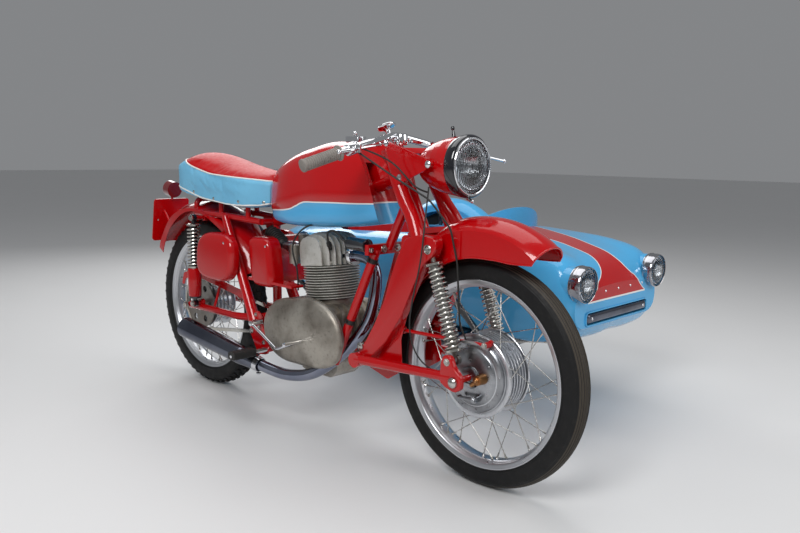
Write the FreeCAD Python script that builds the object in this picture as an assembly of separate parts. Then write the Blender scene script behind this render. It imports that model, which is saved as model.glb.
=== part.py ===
import FreeCAD, Part
import math
import os
from FreeCAD import Vector

# Driving dimensions of the motorcycle and its sidecar, in millimetres
wheel_base = 1300.0
front_tyre_radius = 307.0
front_tyre_width = 70.0
rear_tyre_radius = 313.0
rear_tyre_width = 78.0
side_tyre_radius = 307.0
side_wheel_lead = 190.0
side_track = 1160.0
steering_trail = 90.0
steering_rake = math.radians(26.3)
tub_length = 1812.0
tub_width = 575.0
tub_height = 375.0

# Wheels
rim_radius = 252.5
rim_half_width = 30.0
rim_lip = 7.0
rim_flank = 12.0
rim_depth = 22.0
spoke_width = 2.6
spoke_step = 4.0
spoke_count = 36
spoke_sweep = math.radians(60.8)
spindle_radius = 8.0
running_gap = 0.5
seat_gap = 0.3
front_hub_radius = 112.0
front_hub_half_width = 44.0
rear_hub_radius = 90.0
rear_hub_half_width = 40.0
side_hub_radius = 62.0
side_hub_half_width = 38.0
hub_flange_thickness = 6.0
hub_waist_depth = 14.0
sprocket_radius = 92.0
sprocket_thickness = 6.0
sprocket_gap = 14.0
sprocket_window_radius = 12.0
sprocket_window_count = 6
front_brake_plate_radius = 96.0
brake_plate_thickness = 12.0

# Frame and swing arm
head_tube_radius = 25.0
stem_radius = 15.0
backbone_radius = 19.0
down_tube_radius = 14.0
rail_radius = 11.0
arm_tube_radius = 13.0
pressed_plate = 5.0
cross_plate_depth = 30.0
tube_bend = 60.0
arm_half_spread = 96.0
swing_pivot_radius = 14.0
seat_post_radius = 15.0
hoop_radius = 10.0
cross_plate_left = 112.0
cross_plate_right = 90.0
pivot_plate_side = 100.0
pivot_plate_thickness = 8.0
tool_box_depth = 30.0
tool_box_side = 118.0
footrest_reach = 238.0

# Front fork
fork_tube_radius = 15.0
fork_tube_half_spread = 74.0
fork_tube_lead = 42.0
fork_leg_thickness = 26.0
fork_leg_half_spread = 95.0
gusset_slot_length = 44.0
gusset_slot_height = 88.0
leading_arm_thickness = 16.0
leading_arm_half_spread = 118.0
link_pin_radius = 10.0
pivot_barrel_radius = 17.0
yoke_thickness = 16.0
shock_eye_radius = 13.0
shock_eye_width = 12.0
shock_bolt_radius = 7.5
shock_neck_radius = 7.0
shock_tube_radius = 13.0
shock_foot_reach = 21.0
front_shock_head_reach = 36.0
rear_shock_head_reach = 22.0
torque_side = 67.0
torque_rod_radius = 5.0
front_spring_radius = 22.0
rear_spring_radius = 25.0
spring_wire = 6.0
spring_turns = 9
spring_sides = 8
shock_half_spread = 95.0
rear_shock_half_spread = 122.0

# Mudguards
sheet_wall = 2.0
front_guard_half_width = 62.0
rear_guard_half_width = 66.0
side_guard_half_width = 62.0
overrun = 5.0
plate_hole_radius = 3.2
plate_hole_spacing = 110.0
plate_stay_length = 68.0
tail_lamp_radius = 31.0
guard_step = 12

# Handlebar and lamp
bar_radius = 11.0
grip_radius = 16.5
grip_length = 118.0
lamp_radius = 80.0
lamp_depth = 165.0
lamp_rim_width = 14.0
lens_radius = 71.0
lens_bulge = 14.0
lamp_steps = 10
lamp_wall = 12.0
knob_radius = 24.0
knob_thickness = 10.0
lever_radius = 5.0
cable_radius = 2.5

# Engine
case_half_width = 118.0
cover_thickness = 22.0
cover_length = 354.0
cover_height = 202.0
cover_points = 16
cover_fullness = 0.9
cover_droop = 0.08
left_cover_share = 0.84
rib_count = 7
head_fin_count = 9
coil_radius = 19.0
barrel_radius = 60.0
fin_radius = 88.0
fin_thickness = 3.5
fin_count = 8
fin_sides = 24
header_radius = 20.0
pipe_radius = 18.4
silencer_radius = 32.0

# Sidecar chassis
chassis_tube_radius = 19.0
strut_radius = 14.0
thin_strut_radius = 11.0
side_lamp_radius = 57.0
side_lens_radius = 52.0
pod_tail_radius = 26.0
tub_wall = 6.0
slot_depth = 24.0
slot_height = 42.0
screen_half_width = 250.0
screen_height = 146.0
screen_bend = 400.0
screen_wall = 5.0

# Fineness of the drawn curves
loft_degree = 3

axis_x = Vector(1, 0, 0)
axis_y = Vector(0, 1, 0)
axis_z = Vector(0, 0, 1)
origin = Vector(0, 0, 0)


def spot(x_share, y_share, z_share):
    """A place given as shares of the wheel base, from the rear axle's foot."""
    return Vector(x_share * wheel_base, y_share * wheel_base, z_share * wheel_base)


stem_up = Vector(-math.sin(steering_rake), 0, math.cos(steering_rake))
stem_forward = Vector(math.cos(steering_rake), 0, math.sin(steering_rake))
stem_foot = Vector(wheel_base + steering_trail, 0, 0)
front_axle = Vector(wheel_base, 0, front_tyre_radius)
rear_axle = Vector(0, 0, rear_tyre_radius)
side_axle = Vector(side_wheel_lead, side_track, side_tyre_radius)


def on_stem(height_share, lead=0, side=0):
    """A place beside the steering axis, its height given as a share of the wheel base."""
    base = stem_foot + stem_up * (height_share * wheel_base / stem_up.z)
    return base + stem_forward * lead + axis_y * side


# Places on the frame and the fork that several pieces share
spine_front = on_stem(0.6231)
spine_rear = spot(0.3038, 0, 0.4962)
cross_plate_middle = spot(0.7192, 0, 0.4654)
down_top = spot(0.7192, -0.0385, 0.4654)
down_foot = spot(0.6077, -0.0615, 0.1885)
rail_front = spot(0.3038, -0.0462, 0.4962)
rail_turn = spot(0.1538, -0.0577, 0.5038)
rail_rear = spot(0.0154, -0.0577, 0.5038)
rear_strut_top = spot(0.0862, 0.0577, 0.5038)
swing_pivot = spot(0.3077, 0, 0.2423)
rear_mount = spot(0.3615, 0, 0.1769)
front_mount = spot(0.62, 0, 0.2192)
front_shock_top = spot(0.91, 0, 0.4854)
front_shock_foot = spot(0.9823, 0, 0.2731)
rear_shock_top = spot(0.0562, 0, 0.4923)
rear_shock_foot = spot(0.0554, 0, 0.2538)
link_pivot = spot(0.7154, 0, 0.2238)
plate_low = spot(-0.24, 0, 0.4)
plate_high = spot(-0.22, 0, 0.5277)
lamp_front = spot(-0.2015, 0, 0.5554)
lamp_rear = spot(-0.2308, 0, 0.56)
plate_middle = (plate_low + plate_high) * 0.5
torque_bolt = spot(1.0377, 0, 0.3085)
torque_rear = spot(0.8154, 0, 0.3015)
lamp_centre = spot(0.94, 0, 0.6515)
barrel_foot = spot(0.5323, 0, 0.3262)
cover_middle = spot(0.5108, 0, 0.2469)
barrel_top = spot(0.5238, 0, 0.4077)
barrel_line = (barrel_top - barrel_foot).normalize()
lower_yoke = 0.4985
upper_yoke = 0.6631
# The line from the front axle to the mudguard's stay, in shares of the tyre's radius
guard_stay_line = Vector(-0.81, 0, 0.547)


def aside(point, side):
    """The same point moved out to one side of the machine."""
    return Vector(point.x, side, point.z)


def other_side(shape):
    """The mirror image on the other side of the motorcycle's middle plane."""
    return shape.mirror(origin, axis_y)


def both(shapes):
    """The given solids with their mirror images."""
    return shapes + [other_side(shape) for shape in shapes]


def rod(start, end, radius):
    """A round bar between two points."""
    span = end - start
    return Part.makeCylinder(radius, span.Length, start, span)


def ring(start, end, radius, bore):
    """A round sleeve between two points."""
    span = end - start
    sleeve = Part.makeCylinder(radius, span.Length, start, span)
    return sleeve.cut(Part.makeCylinder(bore, span.Length, start, span))


def cone(start, end, start_radius, end_radius):
    """A round taper between two points."""
    span = end - start
    return Part.makeCone(start_radius, end_radius, span.Length, start, span)


def smooth_path(points, bend):
    """Straight runs joined by arcs of the wanted bend, or less where a run is short."""
    edges = []
    start = points[0]
    for before, corner, after in zip(points, points[1:], points[2:]):
        back = (before - corner).normalize()
        on = (after - corner).normalize()
        half = back.getAngle(on) / 2
        room = min((before - corner).Length, (after - corner).Length) / 2
        reach = min(bend / math.tan(half), room)
        enter = corner + back * reach
        leave = corner + on * reach
        radius = reach * math.tan(half)
        middle_line = (back + on).normalize()
        middle = corner + middle_line * (radius / math.sin(half) - radius)
        if (enter - start).Length > seat_gap:
            edges.append(Part.LineSegment(start, enter).toShape())
        edges.append(Part.Arc(enter, middle, leave).toShape())
        start = leave
    if (points[-1] - start).Length > seat_gap:
        edges.append(Part.LineSegment(start, points[-1]).toShape())
    return Part.Wire(edges)


def bent_tube(points, radius, bend):
    """A round tube along straight runs and arcs."""
    path = smooth_path(points, bend)
    start = Part.makeCircle(radius, points[0], points[1] - points[0])
    return path.makePipeShell([Part.Wire([start])], True, True)


def spun(profile, centre):
    """A solid turned about an axle through the centre, from pairs of side and radius."""
    points = [centre + Vector(0, side, radius) for side, radius in profile]
    face = Part.Face(Part.makePolygon(points + [points[0]]))
    return face.revolve(centre, axis_y, 360)


def turned(profile, start, along):
    """A solid turned about any line, from pairs of distance along it and radius."""
    shaft = Vector(along).normalize()
    across = shaft.cross(axis_y).normalize()
    points = [start + shaft * run + across * radius for run, radius in profile]
    face = Part.Face(Part.makePolygon(points + [points[0]]))
    return face.revolve(start, shaft, 360)


def rounded_plate(points, side, thickness, radius):
    """An upright plate with rounded corners."""
    return rounded_face([aside(point, side) for point in points], radius).extrude(axis_y * thickness)


def rounded_face(points, radius):
    """A flat face whose corners are arcs."""
    ring_points = [points[-1]] + points + [points[0]]
    edges = []
    ends = []
    for before, corner, after in zip(ring_points, ring_points[1:], ring_points[2:]):
        back = (before - corner).normalize()
        on = (after - corner).normalize()
        half = back.getAngle(on) / 2
        room = min((before - corner).Length, (after - corner).Length) * 0.49
        reach = min(radius / math.tan(half), room)
        arc_radius = reach * math.tan(half)
        middle = corner + (back + on).normalize() * (arc_radius / math.sin(half) - arc_radius)
        ends.append((corner + back * reach, middle, corner + on * reach))
    for this, following in zip(ends, ends[1:] + ends[:1]):
        edges.append(Part.Arc(*this).toShape())
        edges.append(Part.LineSegment(this[2], following[0]).toShape())
    return Part.Face(Part.Wire(edges))


def fused(shapes):
    """One solid from pieces that are welded together."""
    return shapes[0].multiFuse(shapes[1:]).removeSplitter()


def loft(wires):
    """A smooth closed solid through the given sections."""
    return Part.makeLoft(wires, True, False, False, loft_degree)


def eased(stations, place):
    """The values of a table at one place, on a smooth curve that never passes its stations."""
    for number in range(len(stations) - 1):
        if place <= stations[number + 1][0]:
            break
    low = stations[number]
    high = stations[number + 1]
    span = high[0] - low[0]
    part = (place - low[0]) / span
    values = []
    for column in range(1, len(low)):
        rise = high[column] - low[column]
        slopes = []
        for end in (number, number + 1):
            before = stations[max(end - 1, 0)]
            after = stations[min(end + 1, len(stations) - 1)]
            here = stations[end]
            into = (here[column] - before[column]) / max(here[0] - before[0], span / 4)
            out = (after[column] - here[column]) / max(after[0] - here[0], span / 4)
            if end in (0, len(stations) - 1):
                slopes.append((into + out) * span)
            else:
                slopes.append(2 * into * out / (into + out) * span if into * out > 0 else 0)
        ease = 3 * part ** 2 - 2 * part ** 3
        value = (1 - ease) * low[column] + ease * high[column]
        value += (part ** 3 - 2 * part ** 2 + part) * slopes[0] + (part ** 3 - part ** 2) * slopes[1]
        values.append(value)
    return values


def square_bar(start, end, width):
    """A thin bar of square section."""
    along = (end - start).normalize()
    across = along.cross(axis_y).normalize() * (width / 2)
    up = along.cross(across).normalize() * (width / 2)
    corners = [start + across + up, start - across + up, start - across - up, start + across - up]
    return Part.Face(Part.makePolygon(corners + [corners[0]])).extrude(end - start)


def coil_spring(start, end, radius):
    """A coil spring as a loft through square sections set round its helix."""
    along = end - start
    lift = Vector(along).normalize()
    right = lift.cross(axis_y).normalize()
    out = right.cross(lift)
    half = spring_wire / 2
    sections = []
    steps = spring_turns * spring_sides
    rise = along.Length - spring_wire
    for step in range(steps + 1):
        angle = 2 * math.pi * step / spring_sides
        spoke = right * math.cos(angle) + out * math.sin(angle)
        middle = start + lift * (half + rise * step / steps) + spoke * (radius - half)
        corners = [middle + spoke * half + lift * half, middle - spoke * half + lift * half,
                   middle - spoke * half - lift * half, middle + spoke * half - lift * half]
        sections.append(Part.makePolygon(corners + [corners[0]]))
    return Part.makeLoft(sections, True, True)


# Wheels
def tyre(centre, radius, width):
    """A tyre seated between the lips of its rim."""
    half = width / 2
    seat = rim_radius - rim_lip + seat_gap
    wall = radius - seat
    bead = rim_half_width * 0.8
    right = [(-bead, seat), (-half, seat + wall * 0.52), (-half * 0.7, seat + wall * 0.88),
             (-half * 0.26, radius)]
    return spun(right + [(-side, r) for side, r in reversed(right)], centre)


def rim(centre):
    """A drop-centre rim with a lip on each side."""
    inner = rim_radius - rim_lip
    right = [(-rim_half_width * 0.86, inner), (-rim_half_width, rim_radius),
             (-rim_half_width * 0.94, rim_radius - rim_flank),
             (-rim_half_width * 0.4, rim_radius - rim_depth)]
    return spun(right + [(-side, r) for side, r in reversed(right)], centre)


def spokes(centre, hub_radius, flange_side):
    """Thin spokes that cross from two hub flanges to the rim."""
    bars = []
    pair_count = spoke_count // 4
    well = rim_radius - rim_depth - seat_gap
    for side in (-1, 1):
        for lean in (-1, 1):
            for number in range(pair_count):
                step = (number + 0.25 * lean + 0.125 * side) / pair_count
                hub_angle = 2 * math.pi * step
                rim_angle = hub_angle + lean * spoke_sweep * (1 - hub_radius / rim_radius)
                hub_side = side * (flange_side + spoke_step / 2 * (1 + lean))
                start = centre + Vector(math.cos(hub_angle) * hub_radius, hub_side,
                                        math.sin(hub_angle) * hub_radius)
                end = centre + Vector(math.cos(rim_angle) * well, side * spoke_step,
                                      math.sin(rim_angle) * well)
                bars.append(square_bar(start, end, spoke_width))
    return bars


def full_width_hub(centre, radius, half_width):
    """A wide hub with a flange at each end, a waist and a bore for its spindle."""
    flange = hub_flange_thickness
    bore = spindle_radius + running_gap
    waist = radius - hub_waist_depth
    right = [(-half_width, bore), (-half_width, radius), (-half_width + flange, radius),
             (-half_width + flange, waist)]
    return spun(right + [(-side, r) for side, r in reversed(right)], centre)


def wheel(name, centre, tyre_radius, tyre_width, hub_radius, hub_half_width):
    """The solids of one wheel, by name."""
    hub = full_width_hub(centre, hub_radius, hub_half_width)
    reach = hub_radius + 3 * seat_gap
    flange_side = hub_half_width - hub_flange_thickness
    return {
        name + "_tyre": [tyre(centre, tyre_radius, tyre_width)],
        name + "_rim": [rim(centre)],
        name + "_hub": [hub] + spokes(centre, reach, flange_side),
    }


def guard_section(centre, degrees, half_width, rise, crown, skirt):
    """The sheet outline of a mudguard at one angle about its wheel."""
    angle = math.radians(degrees)
    out = Vector(math.cos(angle), 0, math.sin(angle))
    rows = []
    for inset in (0, sheet_wall):
        side = axis_y * (half_width - inset)
        shoulder = centre + out * (crown - rise - inset)
        rows.append((centre + out * skirt, side, shoulder, centre + out * (crown - inset)))
    (foot, wide, shoulder, top), (_, narrow, low_shoulder, low_top) = rows
    edges = [Part.LineSegment(foot - wide, shoulder - wide).toShape(),
             Part.Arc(shoulder - wide, top, shoulder + wide).toShape(),
             Part.LineSegment(shoulder + wide, foot + wide).toShape(),
             Part.LineSegment(foot + wide, foot + narrow).toShape(),
             Part.LineSegment(foot + narrow, low_shoulder + narrow).toShape(),
             Part.Arc(low_shoulder + narrow, low_top, low_shoulder - narrow).toShape(),
             Part.LineSegment(low_shoulder - narrow, foot - narrow).toShape(),
             Part.LineSegment(foot - narrow, foot - wide).toShape()]
    return Part.Wire(edges)


def guard(centre, tyre_radius, half_width, station_shares):
    """A sheet mudguard through stations of angle, crown, skirt, width and rise."""
    sections = []
    first = station_shares[0][0]
    last = station_shares[-1][0]
    steps = math.ceil((last - first) / guard_step)
    for step in range(steps + 1):
        degrees = first + (last - first) * step / steps
        crown_share, skirt_share, width_share, rise_share = eased(station_shares, degrees)
        half = half_width * width_share
        crown = crown_share * tyre_radius
        sections.append(guard_section(centre, degrees, half, half * rise_share, crown,
                                      skirt_share * tyre_radius))
    return loft(sections)


# Frame
def frame():
    """The welded frame, from the head tube to the hoop under the saddle."""
    head_top = on_stem(0.6508)
    head_foot = on_stem(0.5123)
    bore_radius = stem_radius + 2 * running_gap
    bore = rod(head_foot, head_top, bore_radius)
    pieces = [ring(head_foot, head_top, head_tube_radius, bore_radius)]
    pieces.append(rod(spine_front, spine_rear, backbone_radius).cut(bore))
    pieces.append(rod(on_stem(0.5846), cross_plate_middle, down_tube_radius).cut(bore))
    half = cross_plate_depth / 2
    corner = aside(cross_plate_middle, -cross_plate_right) - Vector(half / 2, 0, half)
    pieces.append(Part.makeBox(half, cross_plate_right + cross_plate_left, cross_plate_depth, corner))
    pivot = aside(swing_pivot, -arm_half_spread)
    sides = [rod(down_top, down_foot, down_tube_radius)]
    sides.append(bent_tube([rail_front, rail_turn, rail_rear], rail_radius, tube_bend * 2))
    sides.append(cone(spot(0.17, -0.0662, 0.5015), pivot, rail_radius * 1.2, rail_radius * 1.8))
    outline = [spot(0.2862, 0, 0.2692), spot(0.3269, 0, 0.2692), spot(0.3723, 0, 0.1846),
               spot(0.3615, 0, 0.1631), spot(0.3269, 0, 0.1577), spot(0.2923, 0, 0.2077)]
    sides.append(rounded_plate(outline, -pivot_plate_side, pivot_plate_thickness, tube_bend / 5))
    boss = aside(rear_shock_top, rail_rear.y)
    half_boss = axis_y * rail_radius * 0.7
    sides.append(rod(boss - half_boss, boss + half_boss, shock_eye_radius))
    sides.append(rod(boss, aside(boss, -rear_shock_half_spread - shock_eye_radius * 0.8),
                     shock_bolt_radius))
    for foot, top in ((spot(0.2538, -0.0523, 0.5), spot(0.2538, -0.0523, 0.5329)),
                      (spot(0.1385, -0.0577, 0.5038), spot(0.1385, -0.0577, 0.5391))):
        sides.append(rod(foot, top, rail_radius * 0.8))
    sides.append(rod(spot(0.2231, -0.0708, 0.4015), spot(0.2231, -0.0905, 0.4015), rail_radius * 0.8))
    pieces += both(sides)
    pieces.append(rod(rail_front, aside(rail_front, -rail_front.y), rail_radius))
    pieces.append(rod(pivot, aside(pivot, -pivot.y), swing_pivot_radius))
    pieces.append(rod(aside(rear_mount, -pivot_plate_side), aside(rear_mount, pivot_plate_side),
                      rail_radius))
    pieces.append(rod(aside(front_mount, down_foot.y), aside(front_mount, -down_foot.y), rail_radius))
    pieces.append(rod(spine_rear, aside(swing_pivot, 0), seat_post_radius))
    rise = rail_rear + axis_z * (hoop_radius * 5 - running_gap / 2)
    hoop = [rail_rear, rise, aside(rise, -rise.y), aside(rail_rear, -rail_rear.y)]
    pieces.append(bent_tube(hoop, hoop_radius, tube_bend / 2))
    return [fused(pieces)]


def swing_arm():
    """The rear fork with the spindle that carries the rear wheel."""
    arms = []
    for side in (-1, 1):
        front = aside(swing_pivot, side * arm_half_spread / 2)
        turn = aside(spot(0.2308, 0, 0.2423), side * arm_half_spread)
        rear = aside(rear_axle, side * arm_half_spread)
        arms.append(bent_tube([front, turn, rear], arm_tube_radius, tube_bend))
        pin = aside(rear_shock_foot, side * arm_half_spread)
        half = axis_y * rail_radius * 0.7
        arms.append(rod(pin - half, pin + half, shock_eye_radius))
        end = aside(pin, side * (rear_shock_half_spread + shock_eye_radius * 0.8))
        arms.append(rod(pin, end, shock_bolt_radius))
        eye_end = aside(swing_pivot, side * arm_half_spread * 0.75)
        eye_start = aside(swing_pivot, side * (seat_post_radius + hub_flange_thickness))
        arms.append(rod(eye_start, eye_end, swing_pivot_radius * 1.5))
    reach = arm_half_spread + arm_tube_radius + spindle_radius
    arms.append(rod(aside(rear_axle, -reach), aside(rear_axle, reach), spindle_radius))
    bore = rod(aside(swing_pivot, -reach), aside(swing_pivot, reach), swing_pivot_radius + seat_gap)
    post = rod(swing_pivot, swing_pivot + axis_z * tube_bend, seat_post_radius + seat_gap)
    return [fused(arms).cut(bore).cut(post)]


def shock_bodies(top, foot, side, head_reach):
    """The telescopic tubes of a pair of spring legs, each with two seats and two eyes."""
    pieces = []
    half = axis_y * (shock_eye_width / 2)
    for hand in (-1, 1):
        upper = aside(top, hand * side)
        lower = aside(foot, hand * side)
        along = (lower - upper).normalize()
        neck = upper + along * head_reach
        seat_line = lower - along * shock_foot_reach
        shapes = [rod(upper, neck, shock_neck_radius), rod(neck, seat_line, shock_tube_radius)]
        shapes.append(rod(seat_line, lower, shock_neck_radius))
        for eye in (upper, lower):
            shapes.append(rod(eye - half, eye + half, shock_eye_radius))
        shapes.append(rod(neck, neck + along * spring_wire, front_spring_radius))
        shapes.append(rod(seat_line - along * spring_wire, seat_line, front_spring_radius))
        bores = [rod(eye - half * 2, eye + half * 2, shock_bolt_radius + seat_gap) for eye in (upper,
                                                                                               lower)]
        pieces.append(fused(shapes).cut(Part.makeCompound(bores)))
    return pieces


def springs(top, foot, side, radius, head_reach):
    """A pair of coil springs between their seats."""
    pair = []
    margin = spring_wire + seat_gap
    for hand in (-1, 1):
        upper = aside(top, hand * side)
        lower = aside(foot, hand * side)
        along = (lower - upper).normalize()
        pair.append(coil_spring(upper + along * (head_reach + margin),
                                lower - along * (shock_foot_reach + margin), radius))
    return pair


# Front fork
def fork():
    """The steering stem, its two yokes, the upper tubes and the pressed legs."""
    spread = fork_tube_half_spread
    half = stem_up * (yoke_thickness / 2)
    pieces = [rod(on_stem(lower_yoke), on_stem(upper_yoke), stem_radius)]
    reach = spread + fork_tube_radius
    narrow = stem_radius * 1.5
    for height in (lower_yoke, upper_yoke):
        nose = on_stem(height, fork_tube_lead + fork_tube_radius, 0)
        tail = on_stem(height, -stem_radius * 1.6, 0)
        wing = on_stem(height, fork_tube_lead - fork_tube_radius, 0)
        outline = [aside(tail, -narrow), aside(wing, -reach), aside(nose, -reach),
                   aside(nose, reach), aside(wing, reach), aside(tail, narrow)]
        face = rounded_face([point - half for point in outline], fork_tube_radius)
        pieces.append(face.extrude(half * 2))
    sides = [rod(on_stem(lower_yoke, fork_tube_lead, -spread), on_stem(upper_yoke, fork_tube_lead, -spread),
                 fork_tube_radius)]
    outer = -(fork_leg_half_spread + fork_leg_thickness / 2)
    inner = outer + fork_leg_thickness
    outline = [spot(0.82, 0, 0.5062), spot(0.8692, 0, 0.5138), spot(0.9292, 0, 0.5154),
               spot(0.9331, 0, 0.4962), spot(0.9231, 0, 0.4708), spot(0.8923, 0, 0.4554),
               spot(0.8492, 0, 0.3746), spot(0.8223, 0, 0.2846), spot(0.8269, 0, 0.2154),
               spot(0.7846, 0, 0.1885), spot(0.7192, 0, 0.2062), spot(0.7, 0, 0.2238),
               spot(0.7192, 0, 0.25), spot(0.7615, 0, 0.2846), spot(0.7938, 0, 0.3669),
               spot(0.8169, 0, 0.4615)]
    leg = rounded_plate(outline, outer, fork_leg_thickness, tube_bend / 4)
    slot_start = aside(spot(0.8954, 0, 0.4308), outer + pressed_plate)
    leg = leg.cut(Part.makeBox(gusset_slot_length, fork_leg_thickness - 2 * pressed_plate,
                               gusset_slot_height,
                               slot_start))
    sides.append(leg)
    bolt = aside(front_shock_top, outer - pressed_plate)
    sides.append(rod(bolt, aside(bolt, inner), shock_bolt_radius))
    sides.append(rod(bolt, aside(bolt, outer), shock_eye_radius))
    stud = aside(torque_rear, -torque_side + shock_eye_width / 2)
    sides.append(rod(stud, aside(stud, inner - pressed_plate), torque_rod_radius))
    stay = front_axle + guard_stay_line * front_tyre_radius
    sides.append(rod(aside(stay, -front_guard_half_width - seat_gap), aside(stay, inner - pressed_plate),
                     bar_radius))
    pieces += both(sides)
    end = leading_arm_half_spread + pivot_barrel_radius
    pieces.append(rod(aside(link_pivot, -end), aside(link_pivot, end), link_pin_radius))
    line = (on_stem(lower_yoke, fork_tube_lead) - front_axle).normalize()
    angle = math.degrees(math.atan2(line.z, line.x))
    crown = eased(front_guard_shares, angle)[0] * front_tyre_radius
    pieces.append(rod(front_axle + line * (crown + 3 * running_gap), on_stem(lower_yoke, fork_tube_lead),
                      spindle_radius))
    return [fused(pieces)]


def leading_arms():
    """The two leading arms with the spindle of the front wheel and the lower shock bolts."""
    outline = [spot(0.6985, 0, 0.2123), spot(0.7269, 0, 0.2092), spot(0.8892, 0, 0.2262),
               spot(0.9923, 0, 0.2215), spot(1.0192, 0, 0.2308), spot(1.0169, 0, 0.25),
               spot(1, 0, 0.2615), spot(0.9923, 0, 0.2831), spot(0.9723, 0, 0.2831), spot(0.9585, 0, 0.26),
               spot(0.8892, 0, 0.2546), spot(0.7192, 0, 0.2415),
               spot(0.6985, 0, 0.2354)]
    inner = -leading_arm_half_spread + leading_arm_thickness / 2
    arm = rounded_plate(outline, inner - leading_arm_thickness, leading_arm_thickness,
                        leading_arm_thickness * 0.8)
    bore = rod(aside(link_pivot, inner - leading_arm_thickness * 2),
               aside(link_pivot, inner + leading_arm_thickness),
               link_pin_radius + seat_gap)
    pin = rod(aside(front_shock_foot, inner - seat_gap),
              aside(front_shock_foot, -shock_half_spread + shock_eye_width),
              shock_bolt_radius)
    tip = leading_arm_half_spread + leading_arm_thickness
    spindle = rod(aside(front_axle, -tip), aside(front_axle, tip), spindle_radius)
    return [fused(both([arm.cut(bore), pin]) + [spindle])]


def front_brake_plate():
    """The fixed plate of the front brake, with the arm that holds it to the fork leg."""
    bore = spindle_radius + seat_gap
    face = -(front_hub_half_width + running_gap * 2)
    outer = face - brake_plate_thickness
    radius = front_brake_plate_radius
    rim_face = face - pressed_plate
    disc = spun([(face, bore), (face, radius), (rim_face, radius), (outer, radius * 0.7), (outer, bore)],
                front_axle)
    root = aside(front_axle, rim_face)
    tip = aside(torque_bolt, rim_face)
    web = square_bar(root + (tip - root) * 0.6, root + (tip - root) * 1.1, brake_plate_thickness * 0.8)
    half = axis_y * (shock_eye_width / 2)
    front = aside(torque_bolt, -torque_side)
    rear = aside(torque_rear, -torque_side)
    lug = rod(tip, front - half, torque_rod_radius * 1.6)
    arm = fused([rod(front, rear, torque_rod_radius),
                 rod(rear - half, rear + half, torque_rod_radius * 2.2)])
    eye = rod(rear - half * 2, rear + half * 2, torque_rod_radius + seat_gap)
    return [fused([disc, web, lug, arm.cut(eye)])]


def control_cables():
    """The cable from the brake lever down to the front brake."""
    route = [spot(0.7723, -0.1462, 0.6769), spot(0.8385, -0.1054, 0.6269), spot(0.9154, -0.0877, 0.5862),
             spot(0.9523, -0.0646, 0.5308), spot(0.9615, -0.0523, 0.4615),
             spot(0.9708, -0.0508, 0.3385), spot(0.9877, -0.0437, 0.3)]
    return [bent_tube(route, cable_radius, tube_bend)]


# Controls and lamp
def handlebar():
    """The low handlebar, with its clamp on the upper yoke."""
    middle = on_stem(0.7085, fork_tube_lead * 0.5)
    points = [spot(0.7431, -0.2592, 0.6508), spot(0.7577, -0.1654, 0.68), spot(0.7523, -0.0846, 0.6977),
              middle, spot(0.7523, 0.0846, 0.6977), spot(0.7577, 0.1654, 0.68),
              spot(0.7431, 0.2592, 0.6508)]
    bar = bent_tube(points, bar_radius, tube_bend * 2)
    foot = on_stem(upper_yoke, fork_tube_lead * 0.5) + stem_up * (yoke_thickness / 2 + seat_gap)
    return [bar.fuse(rod(foot, middle, bar_radius * 1.2))]


def grips():
    """The two ribbed hand grips."""
    pair = []
    for hand in (-1, 1):
        inner = spot(0.7577, hand * 0.1654, 0.68)
        outer = spot(0.7431, hand * 0.2592, 0.6508)
        along = (outer - inner).normalize()
        end = outer + along * bar_radius
        start = end - along * grip_length
        grip = rod(start, end, grip_radius)
        pair.append(grip.cut(rod(start - along, outer + along * seat_gap, bar_radius + seat_gap)))
    return pair


def levers():
    """The brake and clutch levers with their brackets on the bar."""
    pair = []
    run = (spot(0.7577, 0.1654, 0.68) - spot(0.7523, 0.0846, 0.6977)).normalize()
    for hand in (-1, 1):
        mount = spot(0.7562, hand * 0.15, 0.6835)
        along = Vector(run.x, run.y * hand, run.z)
        half = along * bar_radius
        clamp = ring(mount - half, mount + half, bar_radius * 1.5, bar_radius + 2 * running_gap)
        pivot = mount + Vector(bar_radius * 2.4, 0, 0)
        body = square_bar(mount + Vector(bar_radius * 1.3, 0, 0), pivot, bar_radius)
        blade = bent_tube([pivot, spot(0.7923, hand * 0.1808, 0.6769), spot(0.7785, hand * 0.2615, 0.6523)],
                          lever_radius, tube_bend)
        pair.append(fused([clamp, body, blade]))
    return pair


def damper_knob():
    """The wing knob of the steering damper, on its threaded rod."""
    foot = on_stem(upper_yoke) + stem_up * (yoke_thickness / 2 + seat_gap)
    top = on_stem(0.7292)
    wing = rod(top, top + stem_up * knob_thickness, knob_radius)
    return [rod(foot, top, bar_radius * 0.6).fuse(wing)]


def headlamp_outline(grow):
    """The bullet outline of the headlamp, from its face to its tail."""
    points = [(0, 0)]
    for step in range(lamp_steps + 1):
        angle = math.pi / 2 * step / lamp_steps
        points.append((-(lamp_depth + grow) * math.sin(angle), (lamp_radius + grow) * math.cos(angle)))
    return points


def headlamp_shell():
    """The bullet shaped lamp shell, open at its face."""
    shell = turned(headlamp_outline(0), lamp_centre, axis_x)
    return [shell.cut(turned(headlamp_outline(-lamp_wall), lamp_centre, axis_x))]


def headlamp_rim():
    """The bright rim that holds the lens."""
    start = lamp_centre + axis_x * seat_gap
    lip = lens_radius + seat_gap
    front = lens_radius + sheet_wall * 2
    outline = [(0, lip), (0, lamp_radius + sheet_wall), (lamp_rim_width, front), (lamp_rim_width, lip)]
    return [turned(outline, start, axis_x)]


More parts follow.
